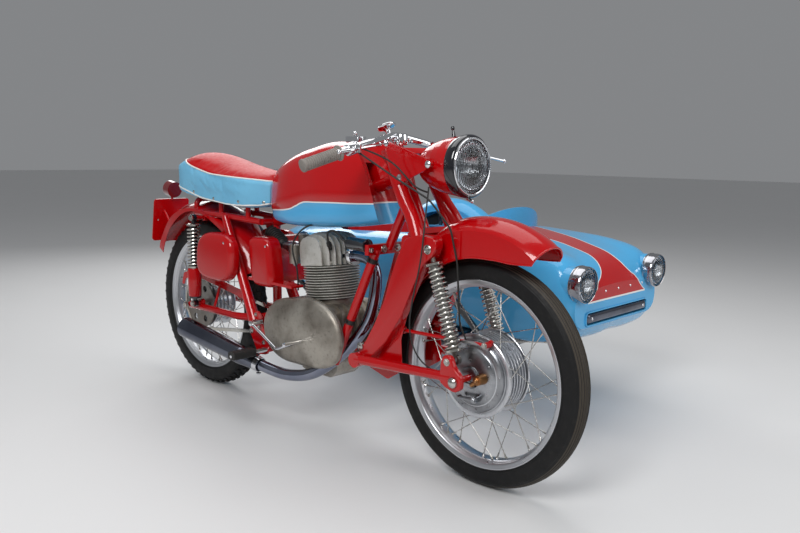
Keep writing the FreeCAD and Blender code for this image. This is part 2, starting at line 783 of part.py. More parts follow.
def dome(start, along, radius, bulge, base):
    """A lens with a flat back and a face that is part of a sphere."""
    shaft = Vector(along).normalize()
    across = shaft.cross(axis_y).normalize()
    foot = start + across * radius
    edge = foot + shaft * base
    top = start + shaft * (base + bulge)
    sphere = (radius ** 2 + bulge ** 2) / (2 * bulge)
    half_way = base + bulge - sphere + math.sqrt(sphere ** 2 - radius ** 2 / 4)
    middle = start + across * (radius / 2) + shaft * half_way
    edges = [Part.LineSegment(start, foot).toShape(), Part.LineSegment(foot, edge).toShape(),
             Part.Arc(edge, middle, top).toShape(), Part.LineSegment(top, start).toShape()]
    return Part.Face(Part.Wire(edges)).revolve(start, shaft, 360)


def headlamp_lens():
    """The glass of the headlamp."""
    return [dome(lamp_centre + axis_x * seat_gap, axis_x, lens_radius, lens_bulge, lamp_rim_width * 0.7)]


def lamp_ears():
    """The two pressed ears that carry the headlamp from the fork tubes."""
    outline = [spot(0.7715, 0, 0.7038), spot(0.8846, 0, 0.6677), spot(0.8985, 0, 0.6554),
               spot(0.8885, 0, 0.6431), spot(0.8038, 0, 0.6077)]
    inner = -(fork_tube_half_spread + fork_tube_radius + seat_gap)
    ear = rounded_plate(outline, inner - sheet_wall * 2, sheet_wall * 2, tube_bend / 6)
    bolt = rod(spot(0.8923, 0, 0.6554), aside(spot(0.8923, 0, 0.6554), inner - sheet_wall * 4),
               lever_radius * 1.6)
    grown = turned(headlamp_outline(seat_gap), lamp_centre, axis_x)
    return both([ear.fuse(bolt.cut(grown))])


# Tank and seat
def tank_section(place, half, low, high, stripe, grow):
    """The tank's outline at one place: full above the stripe and drawn in below it."""
    rows = []
    for across, below, above in tank_outline_shares:
        height = low + (stripe - low) * below + (high - stripe) * above
        lift = grow * (2 * (height - low) / (high - low) - 1)
        rows.append((across * half + grow * min(1, across * 2), height + lift))
    points = [Vector(place, side, height) for side, height in rows]
    points += [Vector(place, -side, height) for side, height in reversed(rows[1:-1])]
    outline = Part.BSplineCurve()
    outline.interpolate(points, PeriodicFlag=True)
    return Part.Wire([outline.toShape()])


# Each station: place, half width, underside, top and stripe
tank_station_shares = [(0.3477, 0.04, 0.5138, 0.6154, 0.5308), (0.3846, 0.0708, 0.5015, 0.6477, 0.5323),
                       (0.4615, 0.0892, 0.4985, 0.6785, 0.5423),
                       (0.5385, 0.0923, 0.5015, 0.6962, 0.5592), (0.57, 0.0938, 0.5038, 0.7008, 0.5615),
                       (0.6769, 0.0862, 0.5138, 0.7015, 0.5646),
                       (0.75, 0.0646, 0.5292, 0.6869, 0.5677), (0.7785, 0.0385, 0.5462, 0.6615, 0.5754)]
# The tank's outline: places across it, lift towards the stripe and lift from the stripe to the top
tank_outline_shares = [(0.0, 0.0, 0.0), (0.5, 0.0, 0.0), (0.8, 0.16, 0.0), (0.9, 0.5, 0.0),
                       (0.925, 0.9, 0.0),
                       (0.985, 1.0, 0.07), (1.0, 1.0, 0.3), (0.955, 1.0, 0.58), (0.81, 1.0, 0.82),
                       (0.5, 1.0, 0.96),
                       (0.0, 1.0, 1.0)]
tank_steps = 12


def tank_body(grow):
    """The tank's outer form, made larger all round by the given amount."""
    first = tank_station_shares[0][0]
    last = tank_station_shares[-1][0]
    sections = []
    for step in range(tank_steps + 1):
        place = first + (last - first) * step / tank_steps
        sizes = [share * wheel_base for share in eased(tank_station_shares, place)]
        sections.append(tank_section(place * wheel_base - (grow if step == 0 else 0), *sizes, grow))
    return loft(sections)


def fuel_tank():
    """The tank, with a tunnel over the frame's spine and a hollow for the steering."""
    run = (spine_rear - spine_front) * 1.2
    tunnel = rod(spine_front, spine_front + run, backbone_radius + seat_gap)
    below = axis_y.cross(run).normalize() * backbone_radius * 4
    side = axis_y * (backbone_radius + seat_gap)
    ends = [spine_front + side, spine_front - side, spine_front - side + below, spine_front + side + below]
    slot = Part.Face(Part.makePolygon(ends + [ends[0]])).extrude(run)
    swing = math.hypot(fork_tube_lead, fork_tube_half_spread) + fork_tube_radius + hub_flange_thickness
    hollow = rod(on_stem(0.4615), on_stem(0.7538), swing)
    tank = tank_body(0).cut(tunnel).cut(slot).cut(hollow)
    return [max(tank.Solids, key=lambda solid: solid.Volume)]


def filler_cap():
    """The round cap, seated on top of the tank."""
    top = spot(0.6077, 0, 0.7123)
    cap = rod(top - axis_z * knob_radius, top, knob_radius * 1.3).cut(tank_body(seat_gap))
    return [max(cap.Solids, key=lambda solid: solid.BoundBox.ZMax)]


def seat_section(x_share, half_share, low_share, high_share):
    """The outline of the saddle at one place along the machine."""
    side = half_share * wheel_base
    low = low_share * wheel_base
    high = high_share * wheel_base
    length = x_share * wheel_base
    crown = (high - low) * 0.25
    start = Vector(length, -side, low)
    corner = Vector(length, -side, high - crown)
    top = Vector(length, 0, high)
    far = Vector(length, side, high - crown)
    end = Vector(length, side, low)
    edges = [Part.LineSegment(start, corner).toShape(), Part.Arc(corner, top, far).toShape(),
             Part.LineSegment(far, end).toShape(), Part.LineSegment(end, start).toShape()]
    return Part.Wire(edges)


seat_station_shares = [(-0.0677, 0.0462, 0.5731, 0.6269), (-0.0462, 0.08, 0.5638, 0.6554),
                       (0.0154, 0.0923, 0.5508, 0.6677), (0.1385, 0.0954, 0.54, 0.6477),
                       (0.2538, 0.0908, 0.5338, 0.6269), (0.3308, 0.0708, 0.5385, 0.6169),
                       (0.3615, 0.0477, 0.5431, 0.6123)]


def seat():
    """The long saddle, cut to fit round the rear of the tank."""
    cushion = loft([seat_section(*shares) for shares in seat_station_shares])
    cushion = cushion.cut(tank_body(seat_gap))
    return [max(cushion.Solids, key=lambda solid: solid.Volume)]


# Rear end
# Each station: angle in degrees, then shares: crown and skirt of the tyre, width, and rise of the width
rear_guard_shares = [(25, 1.20, 1.05, 1.0, 0.55), (50, 1.22, 1.06, 1.02, 0.5), (64, 1.22, 1.09, 1.3, 0.35),
                     (78, 1.22, 1.105, 1.36, 0.3), (92, 1.22, 1.1, 1.36, 0.3),
                     (110, 1.215, 1.04, 1.3, 0.35),
                     (128, 1.20, 1.0, 1.14, 0.45), (146, 1.17, 0.95, 1.02, 0.55)]
front_guard_shares = [(61, 1.31, 1.16, 1.0, 0.55), (69, 1.335, 1.07, 1.0, 0.55),
                      (82, 1.35, 1.03, 1.0, 0.55),
                      (97, 1.35, 1.01, 1.0, 0.55), (125, 1.24, 0.96, 1.0, 0.55),
                      (155, 1.17, 0.91, 1.0, 0.55),
                      (188, 1.13, 0.91, 1.0, 0.55)]
side_guard_shares = [(15, 1.17, 1.04, 1.0, 0.55), (50, 1.2, 1.03, 1.0, 0.55), (90, 1.21, 1.02, 1.0, 0.55),
                     (130, 1.2, 1.02, 1.0, 0.55), (165, 1.17, 1.0, 1.0, 0.55)]


def rear_mudguard():
    """The broad mudguard over the rear wheel, with its holes for the frame's rails and hoop."""
    shell = guard(rear_axle, rear_tyre_radius, rear_guard_half_width, rear_guard_shares)
    for hand in (1, -1):
        start = aside(rail_turn, hand * rail_turn.y)
        end = aside(rail_rear, hand * rail_rear.y)
        shell = shell.cut(rod(start, end, rail_radius + 3 * running_gap))
        shell = shell.cut(rod(end - axis_z * overrun, end + axis_z * rail_radius * 5,
                              hoop_radius + 3 * running_gap))
    shell = shell.cut(rod(*strut_places[-1], thin_strut_radius + 3 * running_gap))
    return [max(shell.Solids, key=lambda solid: solid.Volume)]


def front_mudguard():
    """The front mudguard, with its deep sides and long tail."""
    return [guard(front_axle, front_tyre_radius, front_guard_half_width, front_guard_shares)]


def sidecar_mudguard():
    """The mudguard over the sidecar's wheel."""
    return [guard(side_axle, side_tyre_radius, side_guard_half_width, side_guard_shares)]


def plate_bracket():
    """The blank number plate that leans back from the rear mudguard."""
    low = plate_low
    high = plate_high
    side = axis_y * (rear_guard_half_width * 1.15)
    face = rounded_face([low - side, low + side, high + side, high - side], hub_flange_thickness * 2)
    across = (high - low).cross(axis_y).normalize()
    sheet = face.extrude(across * pressed_plate)
    for hand in (-1, 1):
        middle = plate_middle + axis_y * (hand * plate_hole_spacing / 2)
        sheet = sheet.cut(rod(middle - across * overrun * 2, middle + across * overrun * 2,
                              plate_hole_radius))
    stays = []
    for hand in (-1, 1):
        foot = spot(-0.1908, hand * 0.0231, 0.4529)
        stays.append(rod(foot, foot + (foot - aside(rear_axle, foot.y)).normalize() * plate_stay_length,
                         lever_radius))
    tongue = rod(high - axis_z * overrun, (lamp_front + lamp_rear) * 0.5, lever_radius)
    return [fused([sheet] + stays + [tongue.cut(rod(lamp_front, lamp_rear, tail_lamp_radius + seat_gap))])]


def tail_lamp():
    """The round tail lamp above the number plate."""
    return [rod(lamp_front, lamp_rear, tail_lamp_radius)]


def tool_boxes():
    """The two rounded tool boxes beside the rear wheel and the air box round the seat post."""
    outline = [spot(0.0962, 0, 0.4538), spot(0.2308, 0, 0.4615), spot(0.2708, 0, 0.4308),
               spot(0.2538, 0, 0.3615), spot(0.1923, 0, 0.3323), spot(0.1, 0, 0.3385)]
    box = rounded_plate(outline, -tool_box_side - tool_box_depth, tool_box_depth, tube_bend * 0.6)
    middle = [spot(0.2962, 0, 0.4615), spot(0.35, 0, 0.4615), spot(0.3846, 0, 0.4154),
              spot(0.3769, 0, 0.3385), spot(0.3077, 0, 0.3308)]
    half = arm_half_spread * 0.9
    air_box = rounded_plate(middle, -half, half * 2, tube_bend * 0.5)
    post = rod(spot(0.3038, 0, 0.4962), aside(swing_pivot, 0), seat_post_radius + seat_gap)
    return both([box]) + [air_box.cut(post)]


def chain_loop(radius_rear, radius_front, front):
    """The outline of a loop round the rear sprocket and the engine's sprocket."""
    span = front - rear_axle
    lean = math.asin((radius_rear - radius_front) / span.Length)
    angle = math.atan2(span.z, span.x)
    points = []
    for side in (1, -1):
        turn = angle + side * (math.pi / 2 - lean)
        out = Vector(math.cos(turn), 0, math.sin(turn))
        points.append((rear_axle + out * radius_rear, front + out * radius_front))
    behind = rear_axle - Vector(math.cos(angle), 0, math.sin(angle)) * radius_rear
    ahead = front + Vector(math.cos(angle), 0, math.sin(angle)) * radius_front
    (top_rear, top_front), (low_rear, low_front) = points
    edges = [Part.LineSegment(top_rear, top_front).toShape(),
             Part.Arc(top_front, ahead, low_front).toShape(),
             Part.LineSegment(low_front, low_rear).toShape(),
             Part.Arc(low_rear, behind, top_rear).toShape()]
    return Part.Face(Part.Wire(edges))


sprocket_side = -(rear_hub_half_width + sprocket_gap)
engine_sprocket = spot(0.4154, 0, 0.2446)
chain_height = 11.0
chain_width = 9.0


def rear_sprocket():
    """The toothed disc on the rear hub, with its round windows."""
    face = sprocket_side - sprocket_thickness / 2
    disc = rod(aside(rear_axle, face), aside(rear_axle, face + sprocket_thickness), sprocket_radius)
    boss = rod(aside(rear_axle, face + sprocket_thickness), aside(rear_axle, -rear_hub_half_width),
               sprocket_radius * 0.45)
    cuts = [rod(aside(rear_axle, face - overrun), aside(rear_axle, overrun), spindle_radius + running_gap)]
    for number in range(sprocket_window_count):
        angle = 2 * math.pi * number / sprocket_window_count
        middle = rear_axle + Vector(math.cos(angle), 0, math.sin(angle)) * sprocket_radius * 0.7
        cuts.append(rod(aside(middle, face - overrun),
                        aside(middle, face + sprocket_thickness + running_gap),
                        sprocket_window_radius))
    return disc.fuse(boss).cut(Part.makeCompound(cuts))


def chain():
    """The drive chain, from round the rear sprocket to the engine's case."""
    inner = sprocket_radius + running_gap
    outer = chain_loop(inner + chain_height, chain_height * 3, engine_sprocket)
    hole = chain_loop(inner, chain_height * 2, engine_sprocket)
    band = outer.cut(hole)
    loop = Part.makeCompound([band]).Faces[0]
    start = Vector(0, sprocket_side - chain_width / 2, 0)
    loop.translate(start)
    solid = loop.extrude(axis_y * chain_width)
    case_rear = spot(0.3738, 0, 0.2446)
    size = wheel_base
    block = Part.makeBox(size, size, size, Vector(case_rear.x - seat_gap, -size / 2, 0))
    return [solid.cut(block)]


def chain_guard():
    """The sheet guard over the upper run of the chain."""
    outline = [spot(-0.0862, 0, 0.2862), spot(-0.0731, 0, 0.3215), spot(-0.0231, 0, 0.3354),
               spot(0.1, 0, 0.3269), spot(0.2692, 0, 0.2985), spot(0.2692, 0, 0.2785),
               spot(0.1, 0, 0.3038), spot(-0.0154, 0, 0.3192), spot(-0.0654, 0, 0.3038),
               spot(-0.0708, 0, 0.2862)]
    side = sprocket_side - chain_width - sheet_wall * 2
    sheet = rounded_plate(outline, side, sheet_wall, chain_height)
    stay = rod(spot(0.1154, -0.0506, 0.3092), spot(0.1154, -0.0708, 0.2462), lever_radius)
    arm = rod(spot(0.2154, -0.0738, 0.2423), aside(rear_axle, -arm_half_spread), arm_tube_radius + seat_gap)
    stay = max(stay.cut(arm).Solids, key=lambda solid: solid.BoundBox.ZMax)
    return [sheet.fuse(stay)]


# Engine
def oval_wire(side, share):
    """The outline of the engine's cover at one side, as a share of its full size."""
    points = []
    for number in range(cover_points):
        angle = 2 * math.pi * number / cover_points
        across = math.cos(angle)
        rise = math.sin(angle)
        ahead = math.copysign(abs(across) ** cover_fullness, across) * cover_length / 2
        above = math.copysign(abs(rise) ** cover_fullness, rise) * cover_height / 2 - ahead * cover_droop
        points.append(Vector(cover_middle.x + ahead * share, side, cover_middle.z + above * share))
    outline = Part.BSplineCurve()
    outline.interpolate(points, PeriodicFlag=True)
    return Part.Wire([outline.toShape()])


# How deep each outline of the cover lies, with its share of the full size
cover_depth_shares = [(0, 1), (0.3, 1), (0.62, 0.985), (0.86, 0.94), (1, 0.84)]


def engine_cover(size_share):
    """The domed oval cover on the right of the engine, at a share of its full size."""
    inner = case_half_width - cover_thickness
    return loft([oval_wire(-inner - cover_thickness * depth, share * size_share) for depth,
                 share in cover_depth_shares])


def engine_cases():
    """The engine's cast case with its sump, front ribs, two domed covers and mounting eyes."""
    core = [spot(0.3746, 0, 0.2538), spot(0.3846, 0, 0.3077), spot(0.4615, 0, 0.3215),
            spot(0.5885, 0, 0.3215), spot(0.6092, 0, 0.3), spot(0.6046, 0, 0.2308),
            spot(0.5862, 0, 0.1846), spot(0.4923, 0, 0.1615), spot(0.4, 0, 0.1785)]
    sump = [spot(0.4446, 0, 0.1846), spot(0.4538, 0, 0.1431), spot(0.4846, 0, 0.1369),
            spot(0.5654, 0, 0.1385), spot(0.5846, 0, 0.1538), spot(0.5923, 0, 0.1923)]
    inner = case_half_width - cover_thickness
    pieces = [rounded_plate(core, -inner, inner * 2, tube_bend)]
    pieces.append(rounded_plate(sump, -inner * 0.5, inner, tube_bend / 3))
    rib = [spot(0.5385, 0, 0.3077), spot(0.5923, 0, 0.3238), spot(0.6177, 0, 0.3038),
           spot(0.6154, 0, 0.2308), spot(0.5962, 0, 0.1831), spot(0.5385, 0, 0.1923)]
    for number in range(rib_count):
        side = -inner * 0.94 + number * (inner * 1.88 - fin_thickness) / (rib_count - 1)
        pieces.append(rounded_plate(rib, side, fin_thickness, tube_bend / 2))
    pieces += [engine_cover(1), other_side(engine_cover(left_cover_share))]
    pieces.append(rod(barrel_foot - barrel_line * cover_thickness, barrel_foot - barrel_line * seat_gap,
                      fin_radius * 0.85))
    half = axis_y * (cover_thickness / 2)
    bores = []
    for mount, root in ((front_mount, spot(0.5692, 0, 0.2385)), (rear_mount, spot(0.4308, 0, 0.1923))):
        pieces.append(rod(mount - half, mount + half, rail_radius * 1.7))
        web = square_bar(mount, root, cover_thickness)
        pieces.append(web)
        bores.append(rod(mount - half * 4, mount + half * 4, rail_radius + seat_gap))
    return [fused(pieces).cut(Part.makeCompound(bores))]


def round_polygon(centre, along, radius):
    """A flat many-sided outline that stands for a round fin."""
    shaft = Vector(along).normalize()
    across = axis_y
    ahead = across.cross(shaft).normalize()
    points = []
    for number in range(fin_sides):
        angle = 2 * math.pi * number / fin_sides
        points.append(centre + across * (radius * math.cos(angle)) + ahead * (radius * math.sin(angle)))
    return Part.Face(Part.makePolygon(points + [points[0]]))


def cylinder():
    """The barrel with its stack of cooling fins, and the finned head above it."""
    height = (barrel_top - barrel_foot).Length
    pieces = [round_polygon(barrel_foot, barrel_line, barrel_radius).extrude(barrel_line * height)]
    pitch = (height - fin_thickness) / fin_count
    for number in range(fin_count):
        foot = barrel_foot + barrel_line * (pitch * (number + 0.5))
        pieces.append(round_polygon(foot, barrel_line, fin_radius).extrude(barrel_line * fin_thickness))
    return [fused(pieces)] + cylinder_head()


def head_outline(pairs):
    """Places on the head's side view, as shares of the fin's radius ahead of and above the barrel."""
    ahead = axis_y.cross(barrel_line).normalize() * fin_radius
    rise = barrel_line * fin_radius
    return [barrel_top + barrel_line * seat_gap + ahead * share + rise * lift for share, lift in pairs]


# The side views of a head fin and of the solid head between the fins, in shares of the fin's radius
head_fin_shares = [(-1.0, 0), (-1.03, 0.66), (-0.7, 1.06), (0.1, 1.16), (0.73, 0.88), (0.97, 0.42),
                   (0.94, 0)]
head_core_shares = [(-0.76, 0), (-0.8, 0.55), (-0.48, 0.82), (0.2, 0.86), (0.66, 0.6), (0.74, 0)]
outer_fin_loss = 0.22


def cylinder_head():
    """The domed head with its upright fins over the rounded rocker cover."""
    core = head_outline(head_core_shares)
    width = fin_radius * 0.85
    pieces = [rounded_plate(core, -width, width * 2, tube_bend / 4)]
    for number in range(head_fin_count):
        side = -width + number * (width * 2 - fin_thickness) / (head_fin_count - 1)
        middle = abs(side + fin_thickness / 2) / width
        share = 1 - outer_fin_loss * middle ** 3
        smaller = head_outline([(ahead * share, lift * share) for ahead, lift in head_fin_shares])
        pieces.append(rounded_plate(smaller, side, fin_thickness, tube_bend / 4))
    return [fused(pieces)]


def carburettor():
    """The carburettor with its float bowl and its bright intake towards the air box."""
    body = rod(spot(0.4, 0, 0.43), spot(0.4508, 0, 0.4354), header_radius)
    mouth = cone(spot(0.385, 0, 0.4285), spot(0.4192, 0, 0.4315), header_radius * 1.35,
                 header_radius * 1.05)
    bowl = rod(spot(0.4154, -0.0262, 0.4), spot(0.4154, -0.0262, 0.4462), header_radius * 0.9)
    dome_top = rod(spot(0.4192, 0, 0.4308), spot(0.4177, 0, 0.4708), header_radius * 0.9)
    return [fused([body, mouth, bowl, dome_top])]


def ignition_coil():
    """The round ignition coil on its rod behind the cross plate."""
    rear = spot(0.6062, -0.0577, 0.4708)
    front = spot(0.66, -0.0577, 0.4708)
    foot = aside(cross_plate_middle, rear.y) - axis_x * (cross_plate_depth / 4 + seat_gap)
    return [rod(rear, front, coil_radius).fuse(rod(front - axis_x * overrun,
                                                   Vector(foot.x, foot.y, front.z), lever_radius))]


header_route = [spot(0.5915, 0, 0.4354), spot(0.6631, 0, 0.4308), spot(0.68, 0, 0.3538),
                spot(0.6662, -0.0185, 0.2538), spot(0.6246, -0.0477, 0.1708), spot(0.5385, -0.0769, 0.1354),
                spot(0.4308, -0.0938, 0.1292), spot(0.3554, -0.1092, 0.1485)]


def exhaust_pipe():
    """The exhaust pipe from the head down under the engine."""
    return [bent_tube(header_route, pipe_radius, tube_bend * 1.3)]


def silencer():
    """The long silencer that slips over the end of the exhaust pipe."""
    end = header_route[-1]
    run = (end - header_route[-2]).normalize()
    shoulder = end + run * silencer_radius * 2
    rear = spot(0.0677, -0.1323, 0.1938)
    back = (rear - shoulder).normalize()
    start = end - run * header_radius
    nose = cone(start, shoulder, header_radius * 1.1, silencer_radius)
    body = cone(shoulder - back * overrun, rear, silencer_radius * 0.96, silencer_radius * 1.12)
    socket = rod(start - run * overrun, end + run * seat_gap, pipe_radius + seat_gap)
    return [fused([nose.cut(socket), body])]


def foot_controls():
    """The two footrests and the gear pedal."""
    inner = aside(rear_mount, -pivot_plate_side - seat_gap)
    outer = aside(rear_mount, -footrest_reach)
    rubber = aside(rear_mount, -footrest_reach * 0.63)
    bar = rod(inner, outer, spindle_radius).fuse(rod(rubber, outer, grip_radius * 0.8))
    hub = spot(0.4423, 0, 0.2538)
    toe = spot(0.5923, 0, 0.2346)
    side = -case_half_width - seat_gap
    out = side - lever_radius * 3
    boss = rod(aside(hub, side), aside(hub, out - lever_radius * 1.4), lever_radius * 2.2)
    arm = bent_tube([aside(hub, out), aside(spot(0.4846, 0, 0.2192), out), aside(toe, out)], lever_radius,
                    tube_bend / 2)
    peg = rod(aside(toe, out + lever_radius * 1.4), aside(toe, out - tube_bend * 0.8), lever_radius * 1.8)
    return both([bar]) + [fused([boss, arm, peg])]


# Sidecar
tub_tail = spot(-0.4231, 0.5962, 0)
tub_floor = 0.1923 * wheel_base
tub_middle = side_track - tub_width * 0.67
# Each station, in shares of the tub's own sizes: place along it, half width, underside, ridges and deck
tub_station_shares = [(0.0, 0.08, 0.42, 0.52, 0.56), (0.06, 0.34, 0.22, 0.66, 0.72),
                      (0.16, 0.66, 0.08, 0.75, 0.82),
                      (0.34, 0.92, 0.0, 0.81, 0.88), (0.55, 1.0, 0.0, 0.85, 0.92),
                      (0.73, 1.03, 0.0, 0.92, 0.99),
                      (0.86, 1.05, 0.0, 0.9, 0.915), (0.92, 1.055, 0.01, 0.87, 0.85),
                      (0.96, 1.05, 0.05, 0.82, 0.785),
                      (0.985, 1.02, 0.13, 0.71, 0.69), (1.0, 0.95, 0.21, 0.52, 0.56)]
# The places along the tub at which its outlines are drawn, closer together at the nose
tub_place_shares = [number / 16 for number in range(15)] + [0.91, 0.94, 0.965, 0.985, 1.0]
# The tub's outline: places across it, lift to the ridge and share of the deck's rise
tub_outline_shares = [(0.0, 0.012, 0.0), (0.38, 0.01, 0.0), (0.7, 0.014, 0.0), (0.88, 0.07, 0.0),
                      (0.97, 0.24, 0.0), (1.0, 0.5, 0.0), (0.985, 0.77, 0.0),
                      (0.915, 0.94, 0.0), (0.78, 1.0, 0.1), (0.55, 1.0, 0.55), (0.28, 1.0, 0.9),
                      (0.0, 1.0, 1.0)]
# The deflector's outline: places across it and lift
screen_outline_shares = [(-1.0, 0.0), (-0.97, 0.36), (-0.82, 0.62), (-0.6, 0.82), (-0.3, 0.96), (0.0, 1.0),
                         (0.3, 0.96),
                         (0.6, 0.82), (0.82, 0.62), (0.97, 0.36), (1.0, 0.0)]
slot_low = tub_floor + tub_height * 0.235
screen_foot = tub_floor + tub_height * 0.78


# The first outline that the tub's inside follows, and the one past its last
inside_outlines = (4, 18)


def tub_section(place, wall):
    """The outline of the tub at one share of its length, set in by the wall."""
    half_share, low_share, ridge_share, deck_share = eased(tub_station_shares, place)
    half = half_share * tub_width / 2 - wall
    low = tub_floor + low_share * tub_height + wall
    ridge = tub_floor + ridge_share * tub_height - wall
    deck = tub_floor + deck_share * tub_height - wall
    middle = tub_tail.x + place * tub_length
    rows = []
    for across, lift, crown in tub_outline_shares:
        rows.append((across * half, low + (ridge - low) * lift + (deck - ridge) * crown))
    points = [Vector(middle, tub_middle + side, height) for side, height in rows]
    points += [Vector(middle, tub_middle - side, height) for side, height in reversed(rows[1:-1])]
    outline = Part.BSplineCurve()
    outline.interpolate(points, PeriodicFlag=True)
    return Part.Wire([outline.toShape()])


side_lamp_spread = tub_width * 0.419
slot_half_width = tub_width * 0.36
chassis_half_width = tub_width * 0.36
cross_tube_radius = chassis_tube_radius * 0.9
side_lamp_face = Vector(tub_tail.x + tub_length * 1.008, 0, tub_floor + tub_height * 0.608)
pod_tail = Vector(tub_tail.x + tub_length * 0.734, 0, tub_floor + tub_height * 0.667)
cockpit_front = spot(0.6154, 0, 0)
cockpit_rear = spot(0.0154, 0, 0)
cushion_rear = spot(0.0462, 0, 0)
cockpit_half_width = tub_width * 0.36


def lamp_places():
    """The middle of each sidecar lamp's face, with the tail of its pod."""
    places = []
    for hand in (-1, 1):
        side = tub_middle + hand * side_lamp_spread
        places.append((aside(side_lamp_face, side), aside(pod_tail, side)))
    return places


def tub_form(wall, first, last):
    """The tub's rounded form between two of its outlines, set in by the wall."""
    return loft([tub_section(place, wall) for place in tub_place_shares[first:last]])


def sidecar_tub():
    """The boat shaped shell with its cockpit, hollow lamp pods and nose slot."""
    pods = []
    hollows = []
    for face, tail in lamp_places():
        along = (face - tail).normalize()
        pods.append(cone(tail, face, pod_tail_radius, side_lamp_radius))
        back = face - along * side_lamp_radius
        hollows.append(cone(back, face + along * overrun, pod_tail_radius, side_lens_radius - sheet_wall))
    shell = fused([tub_form(0, 0, len(tub_place_shares))] + pods)
    shell = shell.cut(tub_form(tub_wall, *inside_outlines))
    for hollow in hollows:
        shell = shell.cut(hollow)
    half = cockpit_half_width
    low = tub_floor + tub_height * 0.5
    corners = [Vector(cockpit_rear.x, tub_middle - half, low),
               Vector(cockpit_front.x, tub_middle - half, low),
               Vector(cockpit_front.x, tub_middle + half, low),
               Vector(cockpit_rear.x, tub_middle + half, low)]
    shell = shell.cut(rounded_face(corners, tub_width * 0.2).extrude(axis_z * tub_height))
    nose = tub_tail.x + tub_length
    slot = Part.makeBox(slot_depth + overrun, slot_half_width * 2, slot_height,
                        Vector(nose - slot_depth, tub_middle - slot_half_width, slot_low))
    return [max(shell.cut(slot).Solids, key=lambda solid: solid.Volume)]


def sidecar_screen():
    """The arched sheet deflector ahead of the cockpit, curved round it in plan."""
    centre = cockpit_front.x + tub_wall * 8 - screen_bend
    outline = [Vector(centre, tub_middle + across * screen_half_width, screen_foot + lift * screen_height)
               for across, lift in screen_outline_shares]
    curve = Part.BSplineCurve()
    curve.interpolate(outline)
    arch = Part.Face(Part.Wire([curve.toShape(), Part.LineSegment(outline[-1], outline[0]).toShape()]))
    block = arch.extrude(axis_x * tub_length)
    middle = Vector(centre, tub_middle, screen_foot - overrun)
    height = screen_height * 2
    band = Part.makeCylinder(screen_bend, height,
                             middle).cut(Part.makeCylinder(screen_bend - screen_wall, height, middle))
    sheet = band.common(block).cut(tub_form(-seat_gap, 0, len(tub_place_shares)))
    return [max(sheet.Solids, key=lambda solid: solid.BoundBox.ZMax)]


def sidecar_lamp_bezels():
    """The bright rings on the faces of the lamp pods."""
    rings = []
    depth = hub_flange_thickness * 1.5
    lip = side_lens_radius + seat_gap
    outline = [(0, lip), (0, side_lamp_radius), (depth, side_lens_radius + sheet_wall), (depth, lip)]
    for face, tail in lamp_places():
        along = (face - tail).normalize()
        rings.append(turned(outline, face + along * seat_gap, along))
    return rings


def sidecar_lamp_lenses():
    """The lenses of the sidecar's two lamps."""
    lenses = []
    for face, tail in lamp_places():
        along = (face - tail).normalize()
        lenses.append(dome(face + along * seat_gap, along, side_lens_radius, lens_bulge * 0.8,
                           hub_flange_thickness))
    return lenses


def sidecar_grille():
    """The long bright bar in the nose slot."""
    nose = tub_tail.x + tub_length
    low = slot_low + tub_wall / 2
    high = slot_low + slot_height - tub_wall / 2
    half = slot_half_width - tub_wall
    back = nose - slot_depth + seat_gap
    front = nose + tub_wall
    points = [Vector(back, 0, low), Vector(front, 0, low), Vector(front, 0, high), Vector(back, 0, high)]
    return [rounded_plate(points, tub_middle - half, half * 2, tub_wall * 1.5)]


def sidecar_seat():
    """The sidecar's cushion and backrest, shaped to the inside of the tub."""
    room = tub_form(tub_wall + seat_gap, *inside_outlines)
    half = cockpit_half_width * 0.95
    low = tub_floor + tub_wall / 2
    high = tub_floor + tub_height * 0.38
    start = Vector(cushion_rear.x + tub_wall * 12, tub_middle - half, low)
    cushion = Part.makeBox(tub_length * 0.24, half * 2, high - low, start)
    rear = cushion_rear.x
    foot = high + seat_gap
    top = foot + tub_height * 0.74
    points = [Vector(rear + tub_wall * 6, 0, foot), Vector(rear + tub_wall * 22, 0, foot),
              Vector(rear + tub_wall * 14, 0, top), Vector(rear + tub_wall * 2, 0, top)]
    back = rounded_plate(points, tub_middle - half * 0.9, half * 1.8, tub_wall * 4)
    return [cushion.common(room), back]


rail_height = tub_floor - cross_tube_radius + running_gap * 1.3
outrigger_side = tub_middle - tub_width * 0.56


def outrigger_end(place):
    """The end of an outrigger of the sidecar's chassis, beside a place on the motorcycle."""
    return Vector(place.x, outrigger_side, rail_height)


# Where each strut leaves the motorcycle, with its foot on the sidecar's chassis
strut_places = [(spot(0.6077, 0.0615, 0.1869), outrigger_end(spot(0.62, 0, 0))),
                (spot(0.3385, 0.0708, 0.1738), outrigger_end(spot(0.3385, 0, 0))),
                (spot(0.7192, 0.0808, 0.4654), outrigger_end(spot(0.7462, 0, 0))),
                (rear_strut_top, outrigger_end(rear_strut_top))]


